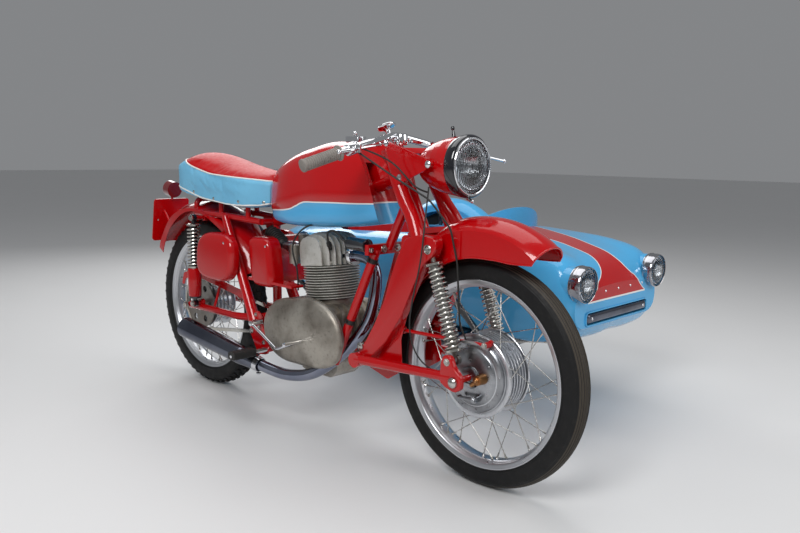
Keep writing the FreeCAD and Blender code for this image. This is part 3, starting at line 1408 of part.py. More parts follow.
def sidecar_chassis():
    """The tube frame under the tub, with the stub axle of its wheel and its mudguard stay."""
    near = tub_middle - chassis_half_width
    far = tub_middle + chassis_half_width
    front = strut_places[2][1].x
    rear = side_axle.x - chassis_tube_radius * 4
    overhang = chassis_tube_radius * 1.5
    pieces = []
    for side in (near, far):
        pieces.append(rod(Vector(rear - overhang, side, rail_height),
                          Vector(front + overhang, side, rail_height),
                          chassis_tube_radius))
    for place in (rear, front):
        pieces.append(rod(Vector(place, near, rail_height), Vector(place, far, rail_height),
                          cross_tube_radius))
    for start, foot in strut_places:
        pieces.append(rod(aside(foot, near), foot, cross_tube_radius))
    inner = side_track - side_guard_half_width
    cross = Vector(side_axle.x, near, rail_height)
    reach = Vector(side_axle.x, inner - chassis_tube_radius, rail_height)
    pieces.append(rod(cross, reach, cross_tube_radius))
    upright = Vector(side_axle.x, reach.y, side_axle.z)
    lift = axis_z * chassis_tube_radius
    pieces.append(rod(reach - lift, upright + lift, chassis_tube_radius))
    end = side_track + side_hub_half_width + spindle_radius * 2
    pieces.append(rod(upright, Vector(side_axle.x, end, side_axle.z), spindle_radius))
    stay = Vector(side_axle.x, inner - seat_gap - spindle_radius, side_axle.z)
    pieces.append(rod(stay, stay + axis_z * side_tyre_radius * 1.1, spindle_radius))
    return [fused(pieces)]


def sidecar_struts():
    """The tubes that join the outriggers of the sidecar's chassis to the motorcycle's frame."""
    near = tub_middle - chassis_half_width
    size = wheel_base
    members = [other_side(rod(down_top, down_foot, down_tube_radius + seat_gap)),
               Part.makeBox(size, size, size, Vector(0, pivot_plate_side + seat_gap - size, 0)),
               Part.makeBox(size, size, size, Vector(0, cross_plate_left + seat_gap - size, 0)),
               other_side(rod(rail_turn, rail_rear, rail_radius + seat_gap))]
    radii = [strut_radius, strut_radius, thin_strut_radius, thin_strut_radius]
    struts = []
    for (start, foot), radius, member in zip(strut_places, radii, members):
        outrigger = rod(aside(foot, near), foot - axis_y * seat_gap, cross_tube_radius + seat_gap)
        strut = rod(start, foot, radius).cut(outrigger).cut(member)
        struts.append(max(strut.Solids, key=lambda solid: solid.Volume))
    return struts


def all_nodes():
    """Every named piece of the machine, as a list of solids each."""
    nodes = {}
    nodes.update(wheel("front", front_axle, front_tyre_radius, front_tyre_width, front_hub_radius,
                       front_hub_half_width))
    nodes.update(wheel("rear", rear_axle, rear_tyre_radius, rear_tyre_width, rear_hub_radius,
                       rear_hub_half_width))
    nodes.update(wheel("sidecar", side_axle, side_tyre_radius, front_tyre_width, side_hub_radius,
                       side_hub_half_width))
    nodes["rear_sprocket"] = [rear_sprocket()]
    nodes["frame"] = frame()
    nodes["swing_arm"] = swing_arm()
    rear = (rear_shock_top, rear_shock_foot, rear_shock_half_spread)
    front = (front_shock_top, front_shock_foot, shock_half_spread)
    nodes["rear_shock_bodies"] = shock_bodies(*rear, rear_shock_head_reach)
    nodes["rear_springs"] = springs(*rear, rear_spring_radius, rear_shock_head_reach)
    nodes["front_shock_bodies"] = shock_bodies(*front, front_shock_head_reach)
    nodes["front_springs"] = springs(*front, front_spring_radius, front_shock_head_reach)
    makers = [fork, leading_arms, front_brake_plate, control_cables, handlebar, grips, levers, damper_knob,
              headlamp_shell,
              headlamp_rim, headlamp_lens, lamp_ears, front_mudguard, rear_mudguard, fuel_tank, filler_cap,
              seat,
              plate_bracket, tail_lamp, tool_boxes, chain, chain_guard, engine_cases, cylinder, carburettor,
              exhaust_pipe, silencer, foot_controls, ignition_coil, sidecar_tub, sidecar_screen,
              sidecar_lamp_bezels,
              sidecar_lamp_lenses, sidecar_grille, sidecar_seat, sidecar_chassis, sidecar_struts,
              sidecar_mudguard]
    for maker in makers:
        nodes[maker.__name__] = maker()
    return nodes


machine = all_nodes()
every_solid = Part.makeCompound([solid for solids in machine.values() for solid in solids])
whole = every_solid.optimalBoundingBox(False)
shift = Vector(-whole.Center.x, -whole.Center.y, 0)
os.makedirs("parts", exist_ok=True)
for node, solids in machine.items():
    shape = Part.makeCompound(solids) if len(solids) > 1 else solids[0]
    shape.translate(shift)
    shape.exportStep("parts/" + node + ".step")
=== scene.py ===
import bmesh
import bpy
import math
from mathutils import Matrix, Vector
from mathutils.bvhtree import BVHTree


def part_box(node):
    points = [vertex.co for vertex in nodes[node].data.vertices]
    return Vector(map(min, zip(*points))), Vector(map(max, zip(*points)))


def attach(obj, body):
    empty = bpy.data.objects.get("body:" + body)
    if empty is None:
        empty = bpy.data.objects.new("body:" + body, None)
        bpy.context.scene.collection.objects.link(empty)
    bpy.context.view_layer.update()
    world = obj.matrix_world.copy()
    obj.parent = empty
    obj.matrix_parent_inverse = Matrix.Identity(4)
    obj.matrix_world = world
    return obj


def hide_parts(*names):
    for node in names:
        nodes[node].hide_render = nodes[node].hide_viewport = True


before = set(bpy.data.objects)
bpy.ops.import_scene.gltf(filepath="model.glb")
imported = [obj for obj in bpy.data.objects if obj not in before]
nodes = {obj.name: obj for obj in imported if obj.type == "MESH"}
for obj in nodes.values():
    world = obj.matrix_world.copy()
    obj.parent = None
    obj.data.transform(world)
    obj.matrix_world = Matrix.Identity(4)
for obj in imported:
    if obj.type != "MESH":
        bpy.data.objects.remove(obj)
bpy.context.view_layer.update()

# The rear axle, from which every place is measured: ahead, to the left and up, in metres
rear_low, rear_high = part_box("rear_tyre")
rear_axle = Vector(rear_low).lerp(Vector(rear_high), 0.5)
axis_x = Vector((1, 0, 0))
axis_y = Vector((0, 1, 0))
axis_z = Vector((0, 0, 1))
whole_turn = 2 * math.pi


def at(ahead, left, up):
    """A place on the motorcycle, from the point on the floor under its rear axle."""
    return Vector((rear_axle.x + ahead, rear_axle.y + left, up))


def middle_of(node):
    """The middle of a node's box."""
    low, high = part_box(node)
    return Vector(low).lerp(Vector(high), 0.5)


front_axle = middle_of("front_tyre")
side_axle = middle_of("sidecar_tyre")
tub_middle = middle_of("sidecar_tub").y - rear_axle.y


# Camera at the photograph's viewing angle
def place_camera():
    """The camera, solved from the outlines of both wheels."""
    yaw = math.radians(133.79)
    pitch = math.radians(8.37)
    roll = math.radians(0.88)
    ahead = Vector((math.cos(yaw) * math.cos(pitch), math.sin(yaw) * math.cos(pitch), -math.sin(pitch)))
    right = Vector((math.sin(yaw), -math.cos(yaw), 0))
    up = right.cross(ahead)
    turned_right = right * math.cos(roll) + up * math.sin(roll)
    turned_up = up * math.cos(roll) - right * math.sin(roll)
    data = bpy.data.cameras.new("view")
    data.sensor_width = 36
    data.lens = 34.55
    camera = bpy.data.objects.new("view", data)
    bpy.context.collection.objects.link(camera)
    turn = Matrix((turned_right, turned_up, -ahead)).transposed()
    camera.matrix_world = Matrix.Translation(at(2.499, -1.584, 0.878)) @ turn.to_4x4()
    bpy.context.scene.camera = camera


place_camera()
bpy.context.scene.view_settings.view_transform = "Standard"


# Shader groups
def group(name, inputs, outputs):
    """An empty shader group with its sockets; inputs carry their usual value."""
    tree = bpy.data.node_groups.new(name, "ShaderNodeTree")
    for label, kind, value in inputs:
        socket = tree.interface.new_socket(name=label, in_out="INPUT", socket_type=kind)
        if value is not None:
            socket.default_value = value
    for label, kind in outputs:
        tree.interface.new_socket(name=label, in_out="OUTPUT", socket_type=kind)
    return tree, tree.nodes.new("NodeGroupInput"), tree.nodes.new("NodeGroupOutput")


def wire(tree, source, target):
    """Joins an output socket to an input socket."""
    tree.links.new(source, target)


def math_node(tree, operation, first, second=None, clamp=False):
    """A Math node whose inputs are sockets or plain numbers."""
    node = tree.nodes.new("ShaderNodeMath")
    node.operation = operation
    node.use_clamp = clamp
    for socket, value in zip(node.inputs, (first, second)):
        if value is None:
            continue
        if isinstance(value, (int, float)):
            socket.default_value = value
        else:
            wire(tree, value, socket)
    return node.outputs[0]


def plus(tree, first, second, clamp=False):
    """The sum of two sockets or numbers."""
    return math_node(tree, "ADD", first, second, clamp)


def minus(tree, first, second):
    """The first value less the second."""
    return math_node(tree, "SUBTRACT", first, second)


def times(tree, first, second, clamp=False):
    """The product of two sockets or numbers."""
    return math_node(tree, "MULTIPLY", first, second, clamp)


def apart(tree, first, second):
    """How far two values lie from each other."""
    return math_node(tree, "ABSOLUTE", minus(tree, first, second))


def opposite(tree, mask):
    """1 where the mask is 0, and 0 where it is 1."""
    return minus(tree, 1.0, mask)


def preset(node, values):
    """Gives a node's sockets their plain values."""
    for label, value in values.items():
        node.inputs[label].default_value = value


def ramp_between(tree, value, low, high, to_low, to_high):
    """A Map Range node from one pair of numbers to another."""
    node = tree.nodes.new("ShaderNodeMapRange")
    wire(tree, value, node.inputs["Value"])
    for label, number in (("From Min", low), ("From Max", high), ("To Min", to_low), ("To Max", to_high)):
        if isinstance(number, (int, float)):
            node.inputs[label].default_value = number
        else:
            wire(tree, number, node.inputs[label])
    return node.outputs["Result"]


def noise_of(tree, vector, scale, detail):
    """The factor of a noise texture."""
    node = tree.nodes.new("ShaderNodeTexNoise")
    wire(tree, vector, node.inputs["Vector"])
    if isinstance(scale, (int, float)):
        node.inputs["Scale"].default_value = scale
    else:
        wire(tree, scale, node.inputs["Scale"])
    node.inputs["Detail"].default_value = detail
    return node.outputs["Fac"]


def mixed(tree, mask, below, above):
    """A colour mix; its ends are sockets or plain colours."""
    node = tree.nodes.new("ShaderNodeMix")
    node.data_type = "RGBA"
    wire(tree, mask, node.inputs[0])
    for socket, colour in ((node.inputs[6], below), (node.inputs[7], above)):
        if isinstance(colour, tuple):
            socket.default_value = colour
        else:
            wire(tree, colour, socket)
    return node.outputs[2]


def make_grain():
    """Fine variation of a surface: a value between two limits, and a height for its bump."""
    tree, inside, out = group("grain", [("Scale", "NodeSocketFloat", 40.0), ("Low", "NodeSocketFloat", 0.2),
                                        ("High", "NodeSocketFloat", 0.4)],
                              [("Value", "NodeSocketFloat"), ("Height", "NodeSocketFloat")])
    place = tree.nodes.new("ShaderNodeTexCoord").outputs["Object"]
    noise = noise_of(tree, place, inside.outputs["Scale"], 6.0)
    wire(tree, ramp_between(tree, noise, 0.32, 0.68, inside.outputs["Low"], inside.outputs["High"]),
         out.inputs["Value"])
    wire(tree, noise, out.inputs["Height"])
    return tree


def make_tint():
    """A colour with large soft patches of a second one and small dark specks of grime."""
    tree, inside, out = group("tint", [("Colour", "NodeSocketColor", None), ("Patch Colour", "NodeSocketColor",
                                                                             None),
                                       ("Patch Scale", "NodeSocketFloat", 6.0), ("Patches", "NodeSocketFloat", 0.3),
                                       ("Grime Colour", "NodeSocketColor", None), ("Grime Scale", "NodeSocketFloat",
                                                                                   90.0),
                                       ("Grime", "NodeSocketFloat", 0.1)],
                              [("Colour", "NodeSocketColor"), ("Mask", "NodeSocketFloat")])
    place = tree.nodes.new("ShaderNodeTexCoord").outputs["Object"]
    patches = ramp_between(tree, noise_of(tree, place, inside.outputs["Patch Scale"], 3.0), 0.4, 0.65, 0.0, 1.0)
    patches = times(tree, patches, inside.outputs["Patches"], True)
    grime = ramp_between(tree, noise_of(tree, place, inside.outputs["Grime Scale"], 8.0), 0.55, 0.75, 0.0, 1.0)
    grime = times(tree, grime, inside.outputs["Grime"], True)
    base = mixed(tree, patches, inside.outputs["Colour"], inside.outputs["Patch Colour"])
    wire(tree, mixed(tree, grime, base, inside.outputs["Grime Colour"]), out.inputs["Colour"])
    wire(tree, grime, out.inputs["Mask"])
    return tree


grain = make_grain()
tint = make_tint()


def srgb(red, green, blue):
    """A colour as it is seen, given in 0 to 255, turned to the shader's scale."""
    linear = []
    for part in (red, green, blue):
        share = part / 255
        linear.append(share / 12.92 if share <= 0.04045 else ((share + 0.055) / 1.055) ** 2.4)
    return (*linear, 1.0)


def grain_of(tree, scale, low=0.2, high=0.4):
    """The outputs of a grain group set for one surface."""
    node = tree.nodes.new("ShaderNodeGroup")
    node.node_tree = grain
    preset(node, {"Scale": scale, "Low": low, "High": high})
    return node.outputs


def bump_from(tree, height, strength, distance):
    """Turns a height into the shader's normal."""
    node = tree.nodes.new("ShaderNodeBump")
    preset(node, {"Strength": strength, "Distance": distance})
    wire(tree, height, node.inputs["Height"])
    wire(tree, node.outputs["Normal"], tree.nodes["Principled BSDF"].inputs["Normal"])


def finish(name, colour, patch=None, patches=0.3, patch_scale=6.0, grime=0.08, grime_scale=90.0,
           grime_colour=(0.02, 0.015, 0.01, 1.0), metal=0.0, rough=(0.2, 0.3), rough_scale=40.0, coat=0.0,
           coat_rough=0.03, bump=0.0, bump_scale=300.0, specular=0.5):
    """A material for one of the machine's finishes, with its colour, gloss and fine surface."""
    material = bpy.data.materials.new(name)
    material.use_nodes = True
    tree = material.node_tree
    shader = tree.nodes["Principled BSDF"]
    colours = tree.nodes.new("ShaderNodeGroup")
    colours.node_tree = tint
    colours.name = "tint"
    preset(colours, {"Colour": colour, "Patch Colour": patch or colour, "Patches": patches,
                     "Patch Scale": patch_scale, "Grime Colour": grime_colour, "Grime Scale": grime_scale,
                     "Grime": grime})
    wire(tree, colours.outputs["Colour"], shader.inputs["Base Color"])
    wire(tree, grain_of(tree, rough_scale, *rough)["Value"], shader.inputs["Roughness"])
    preset(shader, {"Metallic": metal, "Coat Weight": coat, "Coat Roughness": coat_rough,
                    "Specular IOR Level": specular})
    if bump:
        bump_from(tree, grain_of(tree, bump_scale)["Height"], bump, 0.001)
    return material


red_seen = srgb(184, 2, 8)
red_deep = srgb(166, 2, 6)
blue_seen = srgb(76, 170, 222)
blue_deep = srgb(66, 160, 214)
white_seen = srgb(236, 236, 232)

red_paint = finish("red_paint", red_seen, red_deep, patches=0.4, patch_scale=3.0, grime=0.04, rough=(0.14, 0.22),
                   coat=0.5, specular=0.3, bump=0.02, bump_scale=120.0)
blue_paint = finish("blue_paint", blue_seen, blue_deep, patches=0.4, patch_scale=2.5, grime=0.03,
                    rough=(0.16, 0.24), coat=0.5, specular=0.3, bump=0.02, bump_scale=120.0)
chrome = finish("chrome", srgb(228, 229, 232), srgb(204, 206, 212), patches=0.4, grime=0.04,
                grime_colour=srgb(120, 105, 90), metal=1.0, rough=(0.04, 0.12), rough_scale=60.0)
dark_chrome = finish("dark_chrome", srgb(112, 116, 128), srgb(70, 74, 90), patches=0.6, patch_scale=9.0, grime=0.2,
                     metal=1.0, rough=(0.1, 0.24), rough_scale=40.0)
smoked_chrome = finish("smoked_chrome", srgb(196, 196, 200), srgb(120, 122, 134), patches=0.7, patch_scale=8.0,
                       grime=0.16, grime_colour=srgb(74, 62, 52), metal=1.0, rough=(0.08, 0.2), rough_scale=50.0)
pipe_chrome = finish("pipe_chrome", srgb(150, 154, 168), srgb(96, 104, 128), patches=0.6, patch_scale=7.0,
                     grime=0.12, grime_colour=srgb(70, 56, 44), metal=1.0, rough=(0.05, 0.14), rough_scale=40.0)
spring_steel = finish("spring_steel", srgb(206, 204, 198), srgb(168, 160, 148), patches=0.5, grime=0.22,
                      grime_colour=srgb(84, 66, 46), metal=1.0, rough=(0.12, 0.28), rough_scale=120.0)
polished_alloy = finish("polished_alloy", srgb(206, 208, 212), srgb(184, 186, 192), patches=0.5, grime=0.03,
                        grime_colour=srgb(90, 84, 78), metal=1.0, rough=(0.27, 0.36), rough_scale=30.0)
brushed_alloy = finish("brushed_alloy", srgb(168, 170, 174), srgb(122, 124, 128), patches=0.8, patch_scale=16.0,
                       grime=0.3, grime_colour=srgb(56, 52, 48), metal=1.0, rough=(0.24, 0.38), rough_scale=40.0)
cast_alloy = finish("cast_alloy", srgb(178, 172, 162), srgb(112, 104, 94), patches=0.75, patch_scale=9.0,
                    grime=0.36, grime_colour=srgb(60, 52, 44), metal=0.8, rough=(0.36, 0.56), rough_scale=110.0,
                    bump=0.2, bump_scale=420.0)
fin_alloy = finish("fin_alloy", srgb(206, 204, 198), srgb(172, 168, 158), patches=0.6, patch_scale=20.0, grime=0.3,
                   grime_colour=srgb(72, 62, 52), metal=0.6, rough=(0.38, 0.56), rough_scale=120.0, bump=0.16,
                   bump_scale=460.0)
steel = finish("steel", srgb(150, 148, 144), srgb(110, 100, 90), patches=0.6, grime=0.35, metal=1.0,
               rough=(0.3, 0.5))
bolt_steel = finish("bolt_steel", srgb(196, 194, 190), srgb(150, 146, 140), patches=0.5, patch_scale=60.0,
                    grime=0.2, metal=1.0, rough=(0.18, 0.34), rough_scale=160.0)
black_rubber = finish("black_rubber", srgb(30, 29, 28), srgb(42, 40, 38), patches=0.5, grime=0.1,
                      grime_colour=srgb(96, 90, 82), rough=(0.5, 0.7), bump=0.1, bump_scale=260.0)
black_gloss = finish("black_gloss", srgb(14, 15, 22), srgb(24, 26, 38), patches=0.3, rough=(0.1, 0.2), coat=0.8)
grey_rubber = finish("grey_rubber", srgb(136, 130, 124), srgb(112, 108, 104), patches=0.6, patch_scale=12.0,
                     grime=0.3, grime_colour=srgb(52, 48, 44), rough=(0.55, 0.75), bump=0.1, bump_scale=260.0)
tyre_rubber = finish("tyre_rubber", srgb(16, 16, 17), srgb(26, 25, 25), patches=0.5, patch_scale=5.0, grime=0.10,
                     grime_colour=srgb(80, 74, 66), rough=(0.46, 0.66), bump=0.06, bump_scale=180.0, specular=0.3)
red_glass = finish("red_glass", srgb(120, 8, 12), srgb(90, 4, 8), rough=(0.08, 0.14), coat=1.0)
bronze = finish("bronze", srgb(176, 128, 84), srgb(140, 96, 60), patches=0.5, grime=0.2, metal=1.0,
                rough=(0.28, 0.44))
red_leather = finish("red_leather", srgb(186, 6, 14), srgb(166, 4, 10), patches=0.5, patch_scale=7.0, grime=0.08,
                     rough=(0.4, 0.52), rough_scale=90.0, bump=0.2, bump_scale=520.0, specular=0.25)
white_piping = finish("white_piping", white_seen, srgb(214, 214, 208), patches=0.4, grime=0.06, rough=(0.34, 0.46),
                      bump=0.1, bump_scale=400.0)


def object_axes(tree):
    """The object coordinates as three sockets."""
    place = tree.nodes.new("ShaderNodeTexCoord").outputs["Object"]
    split = tree.nodes.new("ShaderNodeSeparateXYZ")
    wire(tree, place, split.inputs[0])
    return split.outputs[0], split.outputs[1], split.outputs[2]


def repainted(source, name):
    """A copy of a finish under a new name, with its node tree and its shader's sockets."""
    material = source.copy()
    material.name = name
    return material, material.node_tree, material.node_tree.nodes["Principled BSDF"].inputs


def clear_glass(name, roughness):
    """Colourless glass for a lamp."""
    material = bpy.data.materials.new(name)
    material.use_nodes = True
    tree = material.node_tree
    shader = tree.nodes["Principled BSDF"]
    preset(shader, {"Base Color": (0.95, 0.97, 0.98, 1.0), "Transmission Weight": 1.0, "IOR": 1.45})
    wire(tree, grain_of(tree, 60.0, roughness, roughness * 2)["Value"], shader.inputs["Roughness"])
    return material


lamp_glass = clear_glass("lamp_glass", 0.02)
frosted_glass = clear_glass("frosted_glass", 0.3)


def fluted():
    """Lamp glass whose upright flutes bend the light."""
    material, tree, _ = repainted(lamp_glass, "fluted_glass")
    flute_width = 0.0065
    wave = math_node(tree, "SINE", times(tree, object_axes(tree)[1], whole_turn / flute_width))
    bump_from(tree, wave, 0.55, 0.0012)
    return material


fluted_glass = fluted()


# Painted bands, whose edges follow a curve over one of the axes
def curve_over(tree, value, stations):
    """A Float Curve node read at a socket: pairs of place and height, in metres."""
    places = [place for place, height in stations]
    heights = [height for place, height in stations]
    low, high = min(heights), max(heights)
    share = ramp_between(tree, value, places[0], places[-1], 0.0, 1.0)
    node = tree.nodes.new("ShaderNodeFloatCurve")
    wire(tree, share, node.inputs["Value"])
    curve = node.mapping.curves[0]
    shares = [((place - places[0]) / (places[-1] - places[0]), (height - low) / (high - low))
              for place, height in stations]
    curve.points[0].location = shares[0]
    curve.points[1].location = shares[-1]
    for share_pair in shares[1:-1]:
        curve.points.new(*share_pair)
    node.mapping.update()
    return ramp_between(tree, node.outputs["Value"], 0.0, 1.0, low, high)


def step_at(tree, value, edge, softness=0.0003):
    """1 where the value is above the edge and 0 below it, with a fine soft border."""
    return ramp_between(tree, minus(tree, value, edge), -softness, softness, 0.0, 1.0)


def second_tint(tree, first, colour, patch):
    """A tint group for another paint on the same piece, set as the first one is."""
    node = tree.nodes.new("ShaderNodeGroup")
    node.node_tree = tint
    preset(node, {socket.name: socket.default_value for socket in first.inputs})
    preset(node, {"Colour": colour, "Patch Colour": patch})
    return node.outputs["Colour"]


def two_tone(tree, stations, colour, patch, softness=0.0003):
    """The finish's own colour above a line along the machine and another below it, with height and line."""
    ahead, _, height = object_axes(tree)
    line = curve_over(tree, ahead, [(rear_axle.x + place, lift) for place, lift in stations])
    first = tree.nodes["tint"]
    below = second_tint(tree, first, colour, patch)
    return mixed(tree, step_at(tree, height, line, softness), below, first.outputs["Colour"]), height, line


def reach_from(tree, ahead, height, centre):
    """How far a place lies from an axle, seen from the side."""
    run = math_node(tree, "POWER", minus(tree, ahead, centre.x), 2.0)
    rise = math_node(tree, "POWER", minus(tree, height, centre.z), 2.0)
    return math_node(tree, "SQRT", plus(tree, run, rise))


tank_line = [(0.452, 0.690), (0.5, 0.693), (0.5895, 0.7004), (0.638, 0.7135), (0.674, 0.7262), (0.69, 0.7292),
             (0.738, 0.7308), (0.8035, 0.7333), (0.881, 0.7345), (0.94, 0.7366), (0.975, 0.738), (1.012, 0.748)]


def tank_paint():
    """Red above a white line and light blue below it, with the line rising to the shoulder."""
    material, tree, sockets = repainted(red_paint, "tank_paint")
    body, height, line = two_tone(tree, tank_line, blue_seen, blue_deep)
    away = apart(tree, height, plus(tree, line, 0.0004))
    wire(tree, mixed(tree, step_at(tree, away, 0.0019), white_seen, body), sockets["Base Color"])
    return material


# Half the width of the sidecar's red band at each height of the nose
nose_band = [(0.40, 0.20), (0.412, 0.191), (0.43, 0.166), (0.45, 0.143), (0.47, 0.125), (0.485, 0.1015),
             (0.506, 0.079), (0.52, 0.0705), (0.535, 0.063), (0.548, 0.060), (0.562, 0.0605), (0.577, 0.0615),
             (0.588, 0.067), (0.598, 0.076), (0.606, 0.081), (0.64, 0.081)]


def tub_paint():
    """Light blue with a red band along the middle that widens over the nose, edged with white lines."""
    material, tree, sockets = repainted(blue_paint, "tub_paint")
    ahead, left, height = object_axes(tree)
    first = tree.nodes["tint"]
    red = second_tint(tree, first, red_seen, red_deep)
    band_half = 0.062
    off = apart(tree, left, rear_axle.y + tub_middle)
    on_nose = step_at(tree, ahead, rear_axle.x + 0.86)
    flare = minus(tree, curve_over(tree, height, nose_band), band_half)
    half = plus(tree, band_half, times(tree, on_nose, flare))
    outside = step_at(tree, off, half)
    high = step_at(tree, height, 0.4128)
    behind = times(tree, step_at(tree, height, 0.45), opposite(tree, step_at(tree, ahead, rear_axle.x + 0.12)))
    deck = plus(tree, times(tree, high, on_nose), times(tree, behind, opposite(tree, on_nose)), True)
    body = mixed(tree, times(tree, opposite(tree, outside), deck), first.outputs["Colour"], red)
    side_line = step_at(tree, apart(tree, off, plus(tree, half, 0.001)), 0.0026)
    side_line = times(tree, opposite(tree, side_line), deck)
    low_line = opposite(tree, step_at(tree, apart(tree, height, 0.4118), 0.0028))
    low_line = times(tree, low_line, step_at(tree, ahead, rear_axle.x + 1.2))
    low_line = times(tree, low_line, opposite(tree, step_at(tree, off, 0.194)))
    lines = plus(tree, side_line, low_line, True)
    wire(tree, mixed(tree, lines, body, white_seen), sockets["Base Color"])
    return material


def torque_paint():
    """Bare alloy on the front brake plate and red on its torque arm."""
    material, tree, sockets = repainted(polished_alloy, "brake_and_arm")
    ahead, _, height = object_axes(tree)
    painted = step_at(tree, reach_from(tree, ahead, height, front_axle), 0.0985)
    wire(tree, mixed(tree, painted, tree.nodes["tint"].outputs["Colour"], red_seen), sockets["Base Color"])
    wire(tree, opposite(tree, painted), sockets["Metallic"])
    return material


painted_tank = tank_paint()
brake_paint = torque_paint()
painted_tub = tub_paint()


# Mesh helpers
def piece(name, mesh, material, body, replaced=(), sharp=35):
    """A finished piece from its bmesh, riding on a body and standing for the given nodes."""
    bmesh.ops.recalc_face_normals(mesh, faces=mesh.faces)
    data = bpy.data.meshes.new(name)
    mesh.to_mesh(data)
    mesh.free()
    data.shade_smooth()
    data.set_sharp_from_angle(angle=math.radians(sharp))
    thing = bpy.data.objects.new(name, data)
    bpy.context.collection.objects.link(thing)
    data.materials.append(material)
    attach(thing, body)
    if replaced:
        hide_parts(*replaced)


def frame_at(start, along):
    """A turn and a shift that take the Z axis to the given line."""
    turn = axis_z.rotation_difference(along.normalized()).to_matrix().to_4x4()
    return Matrix.Translation(start) @ turn


def add(mesh, part, matrix=None):
    """Adds a part's mesh to a piece, moved to its place."""
    if matrix is not None:
        bmesh.ops.transform(part, matrix=matrix, verts=part.verts)
    data = bpy.data.meshes.new("part")
    part.to_mesh(data)
    part.free()
    mesh.from_mesh(data)
    bpy.data.meshes.remove(data)


def spun(mesh, outline, start, along, segments, closed=True):
    """Adds a turned form, from pairs of distance along its axis and radius."""
    part = bmesh.new()
    verts = [part.verts.new((radius, 0, run)) for run, radius in outline]
    pairs = list(zip(verts, verts[1:]))
    if closed:
        pairs.append((verts[-1], verts[0]))
    edges = [part.edges.new(pair) for pair in pairs]
    bmesh.ops.spin(part, geom=verts + edges, cent=(0, 0, 0), axis=(0, 0, 1), angle=whole_turn, steps=segments,
                   use_merge=True)
    bmesh.ops.remove_doubles(part, verts=part.verts, dist=1e-7)
    add(mesh, part, frame_at(start, along))


def bar(mesh, start, end, radius, end_radius=None, sides=8):
    """Adds a round bar or a taper between two points."""
    run = end - start
    bmesh.ops.create_cone(mesh, cap_ends=True, cap_tris=False, segments=sides, radius1=radius,
                          radius2=radius if end_radius is None else end_radius, depth=run.length,
                          matrix=frame_at(start.lerp(end, 0.5), run))


def bolt(mesh, place, along, across_flats, height):
    """Adds a six sided bolt head with a chamfered top, its washer below it."""
    part = bmesh.new()
    half = across_flats / math.sqrt(3)
    bmesh.ops.create_cone(part, cap_ends=True, cap_tris=False, segments=6, radius1=half, radius2=half, depth=height)
    top = [edge for edge in part.edges if all(vert.co.z > 0 for vert in edge.verts)]
    rounded(part, top, height * 0.22, 1)
    bmesh.ops.translate(part, vec=(0, 0, height * 0.5), verts=part.verts)
    add(mesh, part, frame_at(place, along))
    bar(mesh, place, place + along.normalized() * height * 0.22, half * 1.35, half * 1.3, 14)


def pushed(part, face, way):
    """Draws a face of a part out into a solid."""
    made = bmesh.ops.extrude_face_region(part, geom=[face])
    moved = [item for item in made["geom"] if isinstance(item, bmesh.types.BMVert)]
    bmesh.ops.translate(part, vec=way, verts=moved)


def rounded(part, edges, offset, segments, clamped=False):
    """Rounds the given edges of a part."""
    bmesh.ops.bevel(part, geom=edges, offset=offset, segments=segments, profile=0.5, affect="EDGES",
                    material=-1, clamp_overlap=clamped)


def sideways(part):
    """The edges of a part that run across the machine."""
    return [one for one in part.edges if abs(one.verts[0].co.y - one.verts[1].co.y) > 1e-6]


def ball(mesh, place, radius, fineness):
    """A small round ball."""
    bmesh.ops.create_icosphere(mesh, subdivisions=fineness, radius=radius, matrix=Matrix.Translation(place))


def dome_nut(mesh, place, along, radius, height):
    """Adds a low round nut or stud with a domed top."""
    outline = [(0, 0), (0, radius), (height * 0.45, radius * 0.96), (height * 0.8, radius * 0.66),
               (height, radius * 0.24), (height * 1.02, 0)]
    spun(mesh, outline, place, along, 14, closed=False)


def coil(mesh, start, end, radius, wire_radius, turns, sides=8, steps=16):
    """Adds a coil spring of round wire between two points, as its ring swept up a screw line."""
    along = end - start
    part = bmesh.new()
    upright = Matrix.Translation((radius, 0, wire_radius)) @ Matrix.Rotation(math.pi / 2, 4, "X")
    bmesh.ops.create_circle(part, cap_ends=False, segments=sides, radius=wire_radius, matrix=upright)
    rise = (along.length - 2 * wire_radius) / (turns * steps)
    bmesh.ops.spin(part, geom=part.verts[:] + part.edges[:], cent=(0, 0, 0), axis=(0, 0, 1), dvec=(0, 0, rise),
                   angle=whole_turn * turns, steps=turns * steps, use_merge=False)
    bmesh.ops.holes_fill(part, edges=[edge for edge in part.edges if edge.is_boundary])
    add(mesh, part, frame_at(start, along))


def smooth_tube(mesh, points, radius, sides=3):
    """Adds a round tube along a smooth line through guide points."""
    data = bpy.data.curves.new("route", "CURVE")
    data.dimensions = "3D"
    data.resolution_u = 6
    data.bevel_depth = radius
    data.bevel_resolution = sides
    data.use_fill_caps = True
    spline = data.splines.new("NURBS")
    spline.points.add(len(points) - 1)
    for slot, place in zip(spline.points, points):
        slot.co = (*place, 1)
    spline.order_u = 3
    spline.use_endpoint_u = True
    thing = bpy.data.objects.new("route", data)
    made = bpy.data.meshes.new_from_object(thing)
    mesh.from_mesh(made)
    bpy.data.objects.remove(thing)
    bpy.data.curves.remove(data)
    bpy.data.meshes.remove(made)


def mirrored(points):
    """The outline followed by its mirror image in side, from pairs of side and radius."""
    return points + [(-side, radius) for side, radius in reversed(points)]


def unmirrored(points):
    """The outline followed by its mirror image, with the middle point taken once."""
    return points + [(-side, radius) for side, radius in reversed(points[:-1])]


def round_about(centre, angle, radius, side=0.0):
    """A place round an axle, at an angle from straight ahead."""
    return centre + Vector((math.cos(angle) * radius, side, math.sin(angle) * radius))


# Wheels
small_tyre_radius = 0.307
rim_edge = 0.2525
rim_bottom = 0.2302
spoke_sweep = math.radians(60.8)


